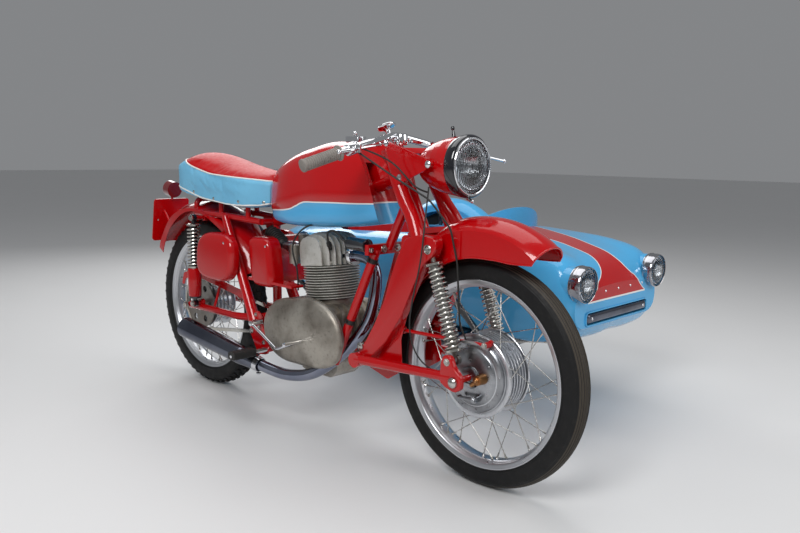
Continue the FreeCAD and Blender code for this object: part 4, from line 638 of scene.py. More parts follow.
def tyre_outline(radius, half, grooves, depth):
    """The tyre's section, from pairs of side and radius, with its sidewall rib and round grooves in the tread."""
    seat = 0.2460
    wall = radius - seat
    outline = [(-0.0235, seat + 0.001), (-0.0262, seat), (-half * 0.9, seat + wall * 0.10),
               (-half * 0.955, seat + wall * 0.16), (-half * 0.985, seat + wall * 0.165),
               (-half * 0.99, seat + wall * 0.20), (-half * 0.965, seat + wall * 0.21), (-half, seat + wall * 0.42),
               (-half * 0.985, seat + wall * 0.58), (-half * 0.94, seat + wall * 0.70),
               (-half * 0.925, seat + wall * 0.71), (-half * 0.89, seat + wall * 0.76),
               (-half * 0.865, seat + wall * 0.765)]
    fall = wall * 0.2
    edge = half * 0.82

    def crown(side):
        return radius - fall * (side / edge) ** 2

    outline.append((-edge, crown(edge)))
    for place in sorted(grooves, reverse=True):
        width = 0.0016
        outline += [(-place - width, crown(place)), (-place - width * 0.6, crown(place) - depth),
                    (-place + width * 0.6, crown(place) - depth), (-place + width, crown(place))]
    outline.append((0.0, radius))
    return unmirrored(outline)


def ribbed_rubber(name, centre, grooves):
    """Tyre rubber with painted highlights: light lines along the lips of its grooves over the tread."""
    material, tree, sockets = repainted(tyre_rubber, name)
    ahead, left, height = object_axes(tree)
    off = apart(tree, left, centre.y)
    # Painted highlight: a light line along each lip of every groove, only over the crown of the tread
    painted_highlight = None
    for place in grooves:
        edge = apart(tree, apart(tree, off, place), 0.0018)
        line = ramp_between(tree, edge, 0.0003, 0.0009, 0.75, 0.0)
        painted_highlight = line if painted_highlight is None else math_node(tree, "MAXIMUM", painted_highlight, line)
    painted_highlight = times(tree, painted_highlight, step_at(tree, reach_from(tree, ahead, height, centre), 0.288, 0.002))
    # The colour of the painted highlight along the groove lips
    highlight_colour = srgb(92, 84, 74)
    wire(tree, mixed(tree, painted_highlight, tree.nodes["tint"].outputs["Colour"], highlight_colour), sockets["Base Color"])
    return material


def ribbed_tyre(wheel, centre):
    """The front or the sidecar's tyre, with a rounded section and round grooves."""
    name = wheel + "_ribbed_tyre"
    grooves = [0.0225, 0.0165, 0.0100, 0.0034]
    mesh = bmesh.new()
    spun(mesh, tyre_outline(small_tyre_radius, 0.0348, grooves, 0.0030), centre, axis_y, 96)
    piece(name, mesh, ribbed_rubber(name + "_rubber", centre, grooves), wheel + "_wheel", [wheel + "_tyre"],
          sharp=28)


def rear_tyre():
    """The rear tyre, with rows of blocks round its tread."""
    mesh = bmesh.new()
    radius = (Vector(rear_high) - Vector(rear_low)).z / 2
    tread_depth = 0.0035
    tread_fall = 0.0134
    tread_half = 0.0316
    spun(mesh, tyre_outline(radius - tread_depth, 0.0385, [], 0), rear_axle, axis_y, 96)
    rows = [(-0.0262, 0.0125, 0.0), (-0.0088, 0.0105, 0.5), (0.0088, 0.0105, 0.0), (0.0262, 0.0125, 0.5)]
    pitch_count = 58
    for side, width, offset in rows:
        reach = radius - tread_depth - tread_fall * (side / tread_half) ** 2
        lean = math.atan(2 * tread_fall * side / tread_half ** 2)
        for number in range(pitch_count):
            angle = whole_turn * (number + offset) / pitch_count
            place = (Matrix.Translation(rear_axle) @ Matrix.Rotation(-angle, 4, "Y")
                     @ Matrix.Translation((reach + 0.0003, side, 0)) @ Matrix.Rotation(lean, 4, "Z")
                     @ Matrix.Rotation(0.35 if side > 0 else -0.35, 4, "X")
                     @ Matrix.Rotation(math.pi / 2, 4, "Y") @ Matrix.Rotation(math.pi / 4, 4, "Z")
                     @ Matrix.Diagonal((1.0, 1.12, 1.0, 1.0)))
            bmesh.ops.create_cone(mesh, cap_ends=True, cap_tris=False, segments=4, radius1=width * 0.74,
                                  radius2=width * 0.62, depth=0.0056, matrix=place)
    piece("rear_tyre_blocks", mesh, tyre_rubber, "rear_wheel", ["rear_tyre"], sharp=28)


rim_outline = mirrored([(-0.0262, 0.2462), (-0.0272, 0.2528), (-0.0290, 0.2534), (-0.0306, 0.2524),
                        (-0.0310, 0.2505), (-0.0300, 0.2480), (-0.0286, 0.2440), (-0.0278, 0.2400),
                        (-0.0262, 0.2375), (-0.0222, 0.2362), (-0.0200, 0.2345), (-0.0150, 0.2312),
                        (-0.0100, rim_bottom)])


def make_wheel(name, centre, hub_radius, hub_half, hub_outline):
    """A rim with its nipples, a turned hub and its crossed round spokes."""
    body = name + "_wheel"
    mesh = bmesh.new()
    spun(mesh, rim_outline, centre, axis_y, 96)
    piece(name + "_alloy_rim", mesh, polished_alloy, body, [name + "_rim"], sharp=40)
    mesh = bmesh.new()
    spun(mesh, hub_outline, centre, axis_y, 72)
    for number in range(18):
        angle = whole_turn * (number + 0.5) / 18
        for side in (-1, 1):
            place = round_about(centre, angle, hub_radius - 0.0065, side * hub_half)
            bar(mesh, place - axis_y * side * 0.001, place + axis_y * side * 0.0005, 0.0036, 0.0030, 8)
    piece(name + "_turned_hub", mesh, polished_alloy, body, [name + "_hub"], sharp=30)
    mesh = bmesh.new()
    pair_count = 9
    reach = hub_radius + 0.0009
    flange = hub_half - 0.006
    for side in (-1, 1):
        for lean in (-1, 1):
            for number in range(pair_count):
                turn = (number + 0.25 * lean + 0.125 * side) / pair_count
                hub_angle = whole_turn * turn
                rim_angle = hub_angle + lean * spoke_sweep * (1 - hub_radius / rim_edge)
                hub_side = side * (flange + 0.002 * (1 + lean))
                start = round_about(centre, hub_angle, reach - 0.004, hub_side)
                end = round_about(centre, rim_angle, rim_bottom, side * 0.004)
                bar(mesh, start, end, 0.00135, sides=6)
                bar(mesh, start.lerp(end, 0.9), end, 0.0021, 0.0030, 6)
                inward = (start - end).normalized()
                bar(mesh, end - inward * 0.002, end + inward * 0.0035, 0.0046, 0.0034, 8)
    piece(name + "_spokes", mesh, bolt_steel, body)


def front_hub_outline():
    """The wide brake drum: a flange, six cooling rings and the far flange."""
    outline = [(-0.044, 0.0087), (-0.044, 0.0965), (-0.0432, 0.0985), (-0.0440, 0.1005), (-0.0440, 0.1100),
               (-0.0425, 0.1120), (-0.0385, 0.1120), (-0.0375, 0.1105), (-0.0372, 0.1000)]
    for number in range(6):
        middle = -0.030 + 0.012 * number
        outline += [(middle - 0.0030, 0.0995), (middle - 0.0017, 0.1078), (middle + 0.0017, 0.1078),
                    (middle + 0.0030, 0.0995)]
    outline += [(0.0372, 0.1000), (0.0375, 0.1105), (0.0385, 0.1120), (0.0425, 0.1120), (0.044, 0.1100),
                (0.044, 0.0087)]
    return outline


def plain_hub_outline(radius, half):
    """A hub with two flanges, a finned waist and raised end rings."""
    waist = radius - 0.014
    return mirrored([(-half, 0.0087), (-half, radius - 0.004), (-half + 0.0015, radius), (-half + 0.0045, radius),
                     (-half + 0.006, radius - 0.004), (-half + 0.0065, waist + 0.001), (-half * 0.5, waist),
                     (-half * 0.44, waist + 0.006), (-half * 0.36, waist + 0.006), (-half * 0.3, waist),
                     (-half * 0.12, waist), (-half * 0.08, waist + 0.006)])


def wheels():
    """The three wheels."""
    ribbed_tyre("front", front_axle)
    ribbed_tyre("sidecar", side_axle)
    rear_tyre()
    make_wheel("front", front_axle, 0.112, 0.044, front_hub_outline())
    make_wheel("rear", rear_axle, 0.090, 0.040, plain_hub_outline(0.090, 0.040))
    make_wheel("sidecar", side_axle, 0.062, 0.038, plain_hub_outline(0.062, 0.038))


def front_brake():
    """The dished brake plate with its studs, cam lever and nuts, and the speedometer's drive."""
    mesh = bmesh.new()
    outline = [(-0.0450, 0.0088), (-0.0450, 0.0960), (-0.0478, 0.0968), (-0.0510, 0.0962), (-0.0540, 0.0930),
               (-0.0548, 0.0880), (-0.0550, 0.0800), (-0.0536, 0.0788), (-0.0536, 0.0770), (-0.0556, 0.0758),
               (-0.0580, 0.0720), (-0.0610, 0.0600), (-0.0628, 0.0420), (-0.0634, 0.0300), (-0.0650, 0.0285),
               (-0.0700, 0.0270), (-0.0715, 0.0240), (-0.0715, 0.0088)]
    spun(mesh, outline, front_axle, axis_y, 72)
    for number in range(12):
        dome_nut(mesh, round_about(front_axle, whole_turn * (number + 0.3) / 12, 0.0865, -0.0547), -axis_y, 0.0030,
                 0.0022)
    for angle in (0.6, 2.9, 4.2):
        dome_nut(mesh, round_about(front_axle, angle, 0.068, -0.0585), -axis_y, 0.0042, 0.005)
    cam = round_about(front_axle, math.radians(-62), 0.058, -0.0600)
    bar(mesh, cam, cam - axis_y * 0.022, 0.0085, 0.0075, 14)
    bolt(mesh, cam - axis_y * 0.022, -axis_y, 0.012, 0.007)
    tip = cam - axis_y * 0.018 + Vector((-0.052, 0, -0.004))
    bar(mesh, cam - axis_y * 0.018, tip, 0.0055, 0.0040, 8)
    bolt(mesh, tip + axis_y * 0.004, -axis_y, 0.010, 0.010)
    piece("brake_plate_dressing", mesh, brushed_alloy, "steering", sharp=30)
    mesh = bmesh.new()
    drive = front_axle + Vector((0.040, -0.068, 0.004))
    bar(mesh, drive + axis_y * 0.010, drive - axis_y * 0.020, 0.0150, 0.0125, 16)
    bar(mesh, drive - axis_y * 0.004, drive + Vector((-0.030, -0.004, -0.022)), 0.0085, 0.0060, 12)
    bolt(mesh, drive - axis_y * 0.020, -axis_y, 0.013, 0.005)
    dome_nut(mesh, drive + Vector((0.0, -0.026, 0.0)), -axis_y, 0.005, 0.004)
    piece("speedometer_drive", mesh, bronze, "steering", sharp=30)


# Springs
def leg_springs(name, node, top, foot, side, head, radius_top, turns, wire_radius, body):
    """A pair of springs of round wire over their legs, with polished caps."""
    mesh = bmesh.new()
    for hand in (-1, 1):
        upper = at(top[0], hand * side, top[1])
        lower = at(foot[0], hand * side, foot[1])
        along = (lower - upper).normalized()
        start = upper + along * (head + 0.0063)
        end = lower - along * (0.021 + 0.0063)
        coil(mesh, start, end, radius_top - wire_radius, wire_radius, turns)
        cap = radius_top + 0.0006
        spun(mesh, [(-0.0085, 0.0075), (-0.0085, cap * 0.82), (-0.0062, cap), (-0.0004, cap),
                    (0.0004, cap - 0.0015), (0.0004, 0.0075)], start, along, 28)
        spun(mesh, [(-0.0004, 0.0135), (-0.0004, cap), (0.0058, cap), (0.0072, cap * 0.85), (0.0072, 0.0135)], end,
             along, 28)
    piece(name, mesh, spring_steel, body, [node], sharp=40)


def suspension():
    """The four coil springs and the red sleeves of the rear legs."""
    leg_springs("front_coils", "front_springs", (1.183, 0.631), (1.277, 0.355), 0.095, 0.036, 0.0225, 17, 0.0036,
                "steering")
    leg_springs("rear_coils", "rear_springs", (0.073, 0.640), (0.0724, 0.440), 0.122, 0.022, 0.0245, 11, 0.0036,
                "chassis")
    mesh = bmesh.new()
    for hand in (-1, 1):
        spun(mesh, [(0, 0.0135), (0, 0.0225), (0.004, 0.0245), (0.098, 0.0235), (0.106, 0.0190), (0.106, 0.0135)],
             at(0.0724, hand * 0.122, 0.460), at(0.0720, 0, 0.330) - at(0.0724, 0, 0.460), 28)
    piece("rear_leg_sleeves", mesh, red_paint, "chassis", sharp=40)


# Body parts and castings
def height_on(stations, place):
    """The height of a line at a place, between its nearest stations."""
    for (low, low_height), (high, high_height) in zip(stations, stations[1:]):
        if place <= high:
            share = max(0.0, (place - low) / (high - low))
            return low_height + (high_height - low_height) * share
    return stations[-1][1]


def slab(mesh, outline, side, far_side, corner, edge):
    """Adds a plate or box from its side outline: rounded corners, and rounded edges on its outer face."""
    part = bmesh.new()
    face = part.faces.new([part.verts.new(at(ahead, side, up)) for ahead, up in outline])
    pushed(part, face, (0, far_side - side, 0))
    outer = rear_axle.y + far_side
    if corner:
        rounded(part, sideways(part), corner, 6, True)
    if edge:
        rim = [one for one in part.edges if all(abs(vert.co.y - outer) < 1e-6 for vert in one.verts)]
        rounded(part, rim, edge, 4, True)
    add(mesh, part)


def egg_outline(ahead, up, half_length, half_height, power, lean=0.0):
    """A rounded outline between an oval and a rectangle, leaning by a share of its height."""
    outline = []
    for number in range(48):
        angle = whole_turn * number / 48
        across = math.copysign(abs(math.cos(angle)) ** (2 / power), math.cos(angle)) * half_length
        rise = math.copysign(abs(math.sin(angle)) ** (2 / power), math.sin(angle)) * half_height
        outline.append((ahead + across + lean * rise, up + rise))
    return outline


def tool_boxes():
    """The rounded boxes beside the rear wheel and the shorter pair round the seat post, with lids and catches."""
    mesh = bmesh.new()
    catches = bmesh.new()
    rear_box = egg_outline(0.232, 0.517, 0.110, 0.084, 3.0, 0.10)
    front_box = egg_outline(0.442, 0.518, 0.060, 0.081, 4.5, -0.14)
    inner_box = egg_outline(0.412, 0.518, 0.034, 0.079, 4.5, -0.10)
    for hand in (-1, 1):
        slab(mesh, rear_box, hand * 0.116, hand * 0.150, 0, 0.019)
        slab(mesh, front_box if hand < 0 else inner_box, hand * 0.056, hand * 0.109, 0, 0.022)
        dome_nut(catches, at(0.302, hand * 0.1490, 0.572), axis_y * hand, 0.0042, 0.003)
        dome_nut(catches, at(0.478, hand * 0.1075, 0.574), axis_y * hand, 0.0042, 0.003)
    slab(mesh, inner_box, -0.057, 0.057, 0, 0)
    slab(mesh, [(0.372, 0.462), (0.604, 0.458), (0.604, 0.450), (0.372, 0.452)], -0.100, -0.052, 0.002, 0)
    piece("rounded_tool_boxes", mesh, red_paint, "chassis", ["tool_boxes"], sharp=40)
    piece("tool_box_catches", catches, chrome, "chassis")


# The waves of the cover's reach round its middle: its mean, then a cosine and a sine share for each
cover_waves = [0.14265, 0.00181, -0.00436, 0.03991, 0.00658, -0.00204, -0.00335, 0.00485, 0.00033]


def cover_radius(angle):
    """The cover's reach from its middle at an angle."""
    reach = cover_waves[0]
    for turn in range(1, len(cover_waves) // 2 + 1):
        reach += cover_waves[2 * turn - 1] * math.cos(turn * angle) + cover_waves[2 * turn] * math.sin(turn * angle)
    return reach


def engine_dome():
    """The egg shaped cast cover on the right of the engine, with its joint lip and recessed screws."""
    mesh = bmesh.new()
    part = bmesh.new()
    outline = [(0, 1.004), (0.0095, 1.006), (0.0105, 0.996), (0.0115, 1.002), (0.0160, 0.990), (0.0205, 0.955),
               (0.0250, 0.88), (0.0300, 0.76), (0.0345, 0.60), (0.0380, 0.42), (0.0400, 0.22), (0.0405, 0.0)]
    verts = [part.verts.new((radius, 0, run)) for run, radius in outline]
    edges = [part.edges.new(pair) for pair in zip(verts, verts[1:])]
    bmesh.ops.spin(part, geom=verts + edges, cent=(0, 0, 0), axis=(0, 0, 1), angle=whole_turn, steps=96,
                   use_merge=True)
    bmesh.ops.remove_doubles(part, verts=part.verts, dist=1e-6)
    middle = at(0.655, -0.0925, 0.325)
    for vert in part.verts:
        angle = math.atan2(vert.co.y, vert.co.x)
        reach = cover_radius(angle) * math.hypot(vert.co.x, vert.co.y)
        vert.co = middle + Vector((math.cos(angle) * reach, -vert.co.z, math.sin(angle) * reach))
    add(mesh, part)
    piece("engine_right_cover", mesh, cast_alloy, "chassis", sharp=50)
    screws = bmesh.new()
    for ahead, up, side in ((0.5836, 0.3840, 0.1218), (0.7733, 0.304, 0.1222), (0.5275, 0.2996, 0.1218),
                            (0.800, 0.372, 0.1100)):
        dome_nut(screws, at(ahead, -side, up), -axis_y, 0.0050, 0.0018)
    piece("engine_cover_screws", screws, black_gloss, "chassis")


def cylinder_and_head():
    """The round barrel with thirteen thin fins, the head with its upright fins, and the spark plug."""
    foot = at(0.6920, 0, 0.4246)
    top = at(0.6809, 0, 0.5300)
    line = (top - foot).normalized()
    tall = (top - foot).length
    mesh = bmesh.new()
    outline = [(0, 0.0)]
    count = 13
    for number in range(count):
        low = tall * number / count + 0.0008
        reach = 0.0872 + 0.0024 * number / count
        outline += [(low, 0.064), (low + 0.0018, 0.066), (low + 0.0024, reach - 0.001), (low + 0.0032, reach),
                    (low + 0.0042, reach), (low + 0.0050, reach - 0.001), (low + 0.0056, 0.066),
                    (low + 0.0072, 0.064)]
    outline += [(tall, 0.064), (tall, 0.0)]
    spun(mesh, outline, foot, line, 56, closed=False)
    ahead_line = axis_y.cross(line).normalized()
    shares = [(-0.98, 0.0), (-1.0, 0.30), (-1.0, 0.66), (-0.90, 0.94), (-0.66, 1.10), (-0.3, 1.17), (0.1, 1.17),
              (0.5, 1.12), (0.80, 0.99), (0.95, 0.76), (1.0, 0.42), (1.0, 0.0)]
    head_reach = 0.088
    fin_count = 11
    thick = 0.0040
    half_width = 0.0775
    for number in range(fin_count):
        middle = -half_width + 2 * half_width * number / (fin_count - 1)
        off = abs(middle) / half_width
        front_share = math.sqrt(1 - (middle / 0.0905) ** 2)
        lift_share = 1 - 0.12 * off ** 3
        part = bmesh.new()
        base = top + line * 0.0006 + axis_y * (middle - thick / 2)
        verts = [part.verts.new(base + ahead_line * (share * head_reach * (front_share if share > 0 else 0.64))
                                + line * (lift * head_reach * lift_share)) for share, lift in shares]
        face = part.faces.new(verts)
        pushed(part, face, (0, thick, 0))
        outer_edges = [one for one in part.edges if abs(one.verts[0].co.y - one.verts[1].co.y) < 1e-6]
        rounded(part, outer_edges, 0.0012, 2)
        add(mesh, part)
    core = [(share * 0.40, lift * 0.80) for share, lift in shares]
    part = bmesh.new()
    base = top + line * 0.0006 - axis_y * half_width
    face = part.faces.new([part.verts.new(base + ahead_line * share * head_reach + line * lift * head_reach)
                           for share, lift in core])
    pushed(part, face, (0, 2 * half_width, 0))
    add(mesh, part)
    for hand in (-1, 1):
        for share in (-0.62, 0.62):
            stud = top + line * 0.0006 + ahead_line * share * head_reach + axis_y * hand * 0.0543
            bar(mesh, stud, stud + line * 0.006, 0.0055, sides=10)
            bolt(mesh, stud + line * 0.006, line, 0.011, 0.006)
    piece("finned_barrel_and_head", mesh, fin_alloy, "chassis", ["cylinder"], sharp=35)
    mesh = bmesh.new()
    plug = top + line * 0.052 + ahead_line * 0.058 - axis_y * 0.050
    lean = (ahead_line * 0.55 - axis_y * 0.60 + line * 0.4).normalized()
    bar(mesh, plug, plug + lean * 0.024, 0.0060, 0.0050, 12)
    spun(mesh, [(0.020, 0.0), (0.020, 0.0072), (0.024, 0.0082), (0.042, 0.0074), (0.046, 0.0045), (0.048, 0.0)],
         plug, lean, 16, closed=False)
    smooth_tube(mesh, [plug + lean * 0.044, plug + lean * 0.060, plug + lean * 0.066 + line * 0.022,
                       at(0.790, -0.090, 0.652), at(0.812, -0.084, 0.640), at(0.822, -0.078, 0.620),
                       at(0.840, -0.0755, 0.618)], 0.0033)
    smooth_tube(mesh, [at(0.764, -0.060, 0.668), at(0.725, -0.086, 0.668), at(0.665, -0.095, 0.652),
                       at(0.618, -0.095, 0.618), at(0.600, -0.094, 0.580), at(0.606, -0.090, 0.545),
                       at(0.600, -0.070, 0.500), at(0.588, -0.060, 0.440)], 0.0027)
    piece("spark_plug_lead", mesh, black_rubber, "chassis")
    mesh = bmesh.new()
    spun(mesh, [(-0.010, 0.0), (-0.010, 0.0070), (0.0, 0.0075), (0.001, 0.0170), (0.003, 0.0190), (0.072, 0.0190),
                (0.0745, 0.0204), (0.0790, 0.0204), (0.0800, 0.0185), (0.0800, 0.0)], at(0.846, -0.0755, 0.617),
         Vector((1, 0, -0.03)), 28, closed=False)
    bar(mesh, at(0.915, -0.0755, 0.605), at(0.930, -0.0755, 0.590), 0.005, sides=8)
    piece("round_ignition_coil", mesh, black_gloss, "chassis", ["ignition_coil"], sharp=40)


def header():
    """The exhaust pipe as one smooth bend, with its ring nut at the head and the silencer's clamp."""
    mesh = bmesh.new()
    smooth_tube(mesh, [at(0.752, 0, 0.5640), at(0.800, 0, 0.5700), at(0.868, 0, 0.5640), at(0.890, -0.003, 0.500),
                       at(0.880, -0.014, 0.400), at(0.850, -0.036, 0.330), at(0.806, -0.060, 0.275),
                       at(0.755, -0.080, 0.228), at(0.690, -0.096, 0.188), at(0.610, -0.110, 0.172),
                       at(0.540, -0.122, 0.174), at(0.462, -0.142, 0.193)], 0.0184, 8)
    piece("smooth_exhaust_pipe", mesh, pipe_chrome, "chassis", ["exhaust_pipe"], sharp=60)
    mesh = bmesh.new()
    spun(mesh, [(0.0, 0.0188), (0.0, 0.0300), (0.003, 0.0315), (0.013, 0.0315), (0.017, 0.0290), (0.017, 0.0188)],
         at(0.776, 0, 0.5665), Vector((1, 0, 0.08)), 24)
    run = Vector((-0.098, -0.020, 0.025)).normalized()
    spun(mesh, [(-0.009, 0.0225), (-0.009, 0.0250), (0.009, 0.0255), (0.009, 0.0225)], at(0.478, -0.1388, 0.1890),
         run, 28)
    bolt(mesh, at(0.478, -0.1388, 0.1890) - axis_z * 0.030, -axis_z, 0.011, 0.006)
    piece("exhaust_clamps", mesh, chrome, "chassis", sharp=40)


def cut_copy(mesh, node, cuts):
    """Adds a copy of a node's mesh, cut by planes; each cut keeps the side its normal points to."""
    part = bmesh.new()
    part.from_mesh(nodes[node].data)
    bmesh.ops.remove_doubles(part, verts=part.verts, dist=1e-5)
    for place, normal in cuts:
        bmesh.ops.bisect_plane(part, geom=part.verts[:] + part.edges[:] + part.faces[:], plane_co=place,
                               plane_no=normal, clear_inner=True)
        bmesh.ops.holes_fill(part, edges=[one for one in part.edges if one.is_boundary], sides=0)
    add(mesh, part)


def fork_and_arms():
    """The fork with its pressed legs, and the round leading arms with their lugs and the wheel's spindle."""
    mesh = bmesh.new()
    split = at(0, 0, 0.672)
    cut_copy(mesh, "fork", [(split, axis_z)])
    cut_copy(mesh, "fork", [(split, -axis_z), (at(0, 0.084, 0), -axis_y), (at(0, -0.084, 0), axis_y)])
    leg = [(1.103, 0.655), (1.149, 0.668), (1.206, 0.664), (1.214, 0.640), (1.196, 0.612), (1.169, 0.591),
           (1.134, 0.529), (1.093, 0.442), (1.035, 0.360), (0.962, 0.290), (0.944, 0.276), (0.922, 0.280),
           (0.918, 0.300), (0.950, 0.342), (0.988, 0.402), (1.023, 0.470), (1.050, 0.545), (1.074, 0.600)]
    arms = bmesh.new()
    for hand in (-1, 1):
        slab(mesh, leg, hand * 0.082, hand * 0.1115, 0.010, 0.006)
        smooth_tube(mesh, [at(1.030, hand * 0.075, 0.822), at(1.050, hand * 0.0755, 0.782),
                           at(1.076, hand * 0.078, 0.742), at(1.112, hand * 0.083, 0.700),
                           at(1.134, hand * 0.092, 0.652)], 0.0205, 8)
        pivot = at(0.930, hand * 0.104, 0.291)
        bar(arms, pivot, at(0.930, hand * 0.1345, 0.291), 0.0215, 0.0215, 24)
        bar(arms, at(0.930, hand * 0.1215, 0.2925), at(1.290, hand * 0.1215, 0.3150), 0.0140, 0.0130, 20)
        lug = [(1.252, 0.300), (1.256, 0.352), (1.264, 0.372), (1.288, 0.372), (1.300, 0.344), (1.323, 0.324),
               (1.323, 0.292), (1.304, 0.280), (1.272, 0.288)]
        slab(arms, lug, hand * 0.1190, hand * 0.1330, 0.008, 0.003)
    bar(arms, at(1.2995, -0.1335, 0.307), at(1.2995, 0.1335, 0.307), 0.0085, 0.0085, 16)
    piece("fork_with_pressed_legs", mesh, red_paint, "steering", ["fork"], sharp=35)
    piece("round_leading_arms", arms, red_paint, "steering", ["leading_arms"], sharp=40)


# Stations of each mudguard's edge: degrees round the axle, reach of the skirt and of the crown in shares of the
# tyre's radius, and half the width
front_edge = [(61, 1.16, 1.31, 0.0620), (69, 1.07, 1.335, 0.0620), (82, 1.03, 1.35, 0.0620),
              (97, 1.01, 1.35, 0.0620), (125, 0.96, 1.24, 0.0620), (155, 0.91, 1.17, 0.0620),
              (188, 0.91, 1.13, 0.0620)]
side_edge = [(15, 1.04, 1.17, 0.0620), (50, 1.03, 1.20, 0.0620), (90, 1.02, 1.21, 0.0620),
             (130, 1.02, 1.20, 0.0620), (165, 1.00, 1.17, 0.0620)]


def guard_bead(name, centre, stations, material, body):
    """The rolled bead round a mudguard's edge, along both skirts and over its two ends."""
    mesh = bmesh.new()
    first, last = stations[0], stations[-1]
    for hand in (-1, 1):
        ring = []
        for number in range(25):
            degrees = first[0] + (last[0] - first[0]) * number / 24
            skirt = height_on([(one[0], one[1]) for one in stations], degrees)
            half = height_on([(one[0], one[3]) for one in stations], degrees)
            ring.append(round_about(centre, math.radians(degrees), small_tyre_radius * skirt, hand * half))
        smooth_tube(mesh, ring, 0.0026, 2)
    for degrees, skirt, crown, half in (first, last):
        rise = half * 0.55
        bend = (half * half + rise * rise) / (2 * rise)
        hub = small_tyre_radius * crown - bend
        reach = math.asin(half / bend)
        arc = [round_about(centre, math.radians(degrees), small_tyre_radius * skirt, -half)]
        for number in range(13):
            turn = reach * (number / 6 - 1)
            arc.append(round_about(centre, math.radians(degrees), hub + bend * math.cos(turn),
                                   bend * math.sin(turn)))
        arc.append(round_about(centre, math.radians(degrees), small_tyre_radius * skirt, half))
        smooth_tube(mesh, arc, 0.0026, 2)
    piece(name, mesh, material, body)


def guard_beads():
    """The rolled edges of the front and sidecar mudguards."""
    guard_bead("front_mudguard_bead", front_axle, front_edge, red_paint, "steering")
    guard_bead("sidecar_mudguard_bead", side_axle, side_edge, blue_paint, "chassis")


def carburettor_trim():
    """The carburettor's flange, funnel, bowl nut and slide cap, and the ribbed hose to its funnel."""
    mesh = bmesh.new()
    start = at(0.5005, 0, 0.5570)
    along = (at(0.5450, 0, 0.5610) - start).normalized()
    spun(mesh, [(-0.002, 0.0215), (-0.002, 0.0285), (0.004, 0.0290), (0.010, 0.0262), (0.034, 0.0225),
                (0.034, 0.020), (0.010, 0.0215)], start, along, 32)
    cone_start, cone_end = at(0.449, -0.010, 0.5705), at(0.502, -0.004, 0.5650)
    spun(mesh, [(0, 0.0), (0, 0.0120), (0.004, 0.0130), (0.040, 0.0195), (0.048, 0.0205), (0.053, 0.0200),
                (0.053, 0.0)], cone_start, cone_end - cone_start, 28, closed=False)
    bolt(mesh, at(0.540, -0.034, 0.518), -axis_z, 0.012, 0.007)
    dome_nut(mesh, at(0.543, 0, 0.612), axis_z, 0.013, 0.010)
    piece("carburettor_fittings", mesh, polished_alloy, "chassis")
    hose = bmesh.new()
    start, end = at(0.380, -0.014, 0.6150), at(0.4495, -0.010, 0.5705)
    outline = [(0.0, 0.0), (0.0, 0.020)]
    run = (end - start).length
    for number in range(8):
        low = 0.004 + (run - 0.012) * number / 8
        outline += [(low, 0.0205), (low + 0.0025, 0.0245), (low + 0.0050, 0.0245), (low + 0.0072, 0.0205)]
    spun(hose, outline + [(run, 0.0160), (run, 0.0)], start, end - start, 24, closed=False)
    piece("intake_hose", hose, black_rubber, "chassis")


def foot_controls():
    """The footrests with ribbed rubbers and the bright gear pedal."""
    steel_mesh = bmesh.new()
    rubber = bmesh.new()
    for hand in (-1, 1):
        start = at(0.470, hand * 0.1004, 0.230)
        bar(steel_mesh, start, at(0.470, hand * 0.152, 0.230), 0.0080, sides=14)
        bolt(steel_mesh, at(0.470, hand * 0.2365, 0.230), axis_y * hand, 0.010, 0.004)
        for number in range(9):
            side = hand * (0.153 + 0.0094 * number)
            part = bmesh.new()
            grown = 0.0006 if number % 2 else 0.0
            bmesh.ops.create_cube(part, size=1.0, matrix=Matrix.Translation(at(0.470, side + hand * 0.0047, 0.231))
                                  @ Matrix.Diagonal((0.036 + grown * 4, 0.0094, 0.024 + grown * 3, 1.0)))
            rounded(part, sideways(part), 0.006, 3)
            add(rubber, part)
    piece("footrest_rubbers", rubber, black_rubber, "chassis", ["foot_controls"])
    side = -0.1400
    bar(steel_mesh, at(0.446, -0.102, 0.319), at(0.446, side - 0.006, 0.319), 0.0100, 0.0090, 16)
    dome_nut(steel_mesh, at(0.446, side - 0.006, 0.319), -axis_y, 0.0085, 0.004)
    smooth_tube(steel_mesh, [at(0.446, side, 0.319), at(0.500, side, 0.294), at(0.562, side, 0.264),
                             at(0.575, side, 0.2585), at(0.590, side, 0.2620), at(0.640, side, 0.285),
                             at(0.691, side, 0.302)], 0.0052, 4)
    bar(steel_mesh, at(0.691, side + 0.006, 0.302), at(0.691, side - 0.058, 0.302), 0.0070, 0.0078, 14)
    dome_nut(steel_mesh, at(0.691, side - 0.058, 0.302), -axis_y, 0.0076, 0.003)
    piece("footrest_and_pedal_metal", steel_mesh, chrome, "chassis")


# Lamps
lamp_middle = at(1.222, 0, 0.847)
lamp_spread = 0.2409


def lens_outline(edge, swell, radius, steps):
    """The outer line of a lamp's glass, from its edge to its swollen middle."""
    dome = [(edge + swell * (1 - (step / steps) ** 2), radius * step / steps) for step in range(steps - 1, -1, -1)]
    return [(edge, radius)] + dome


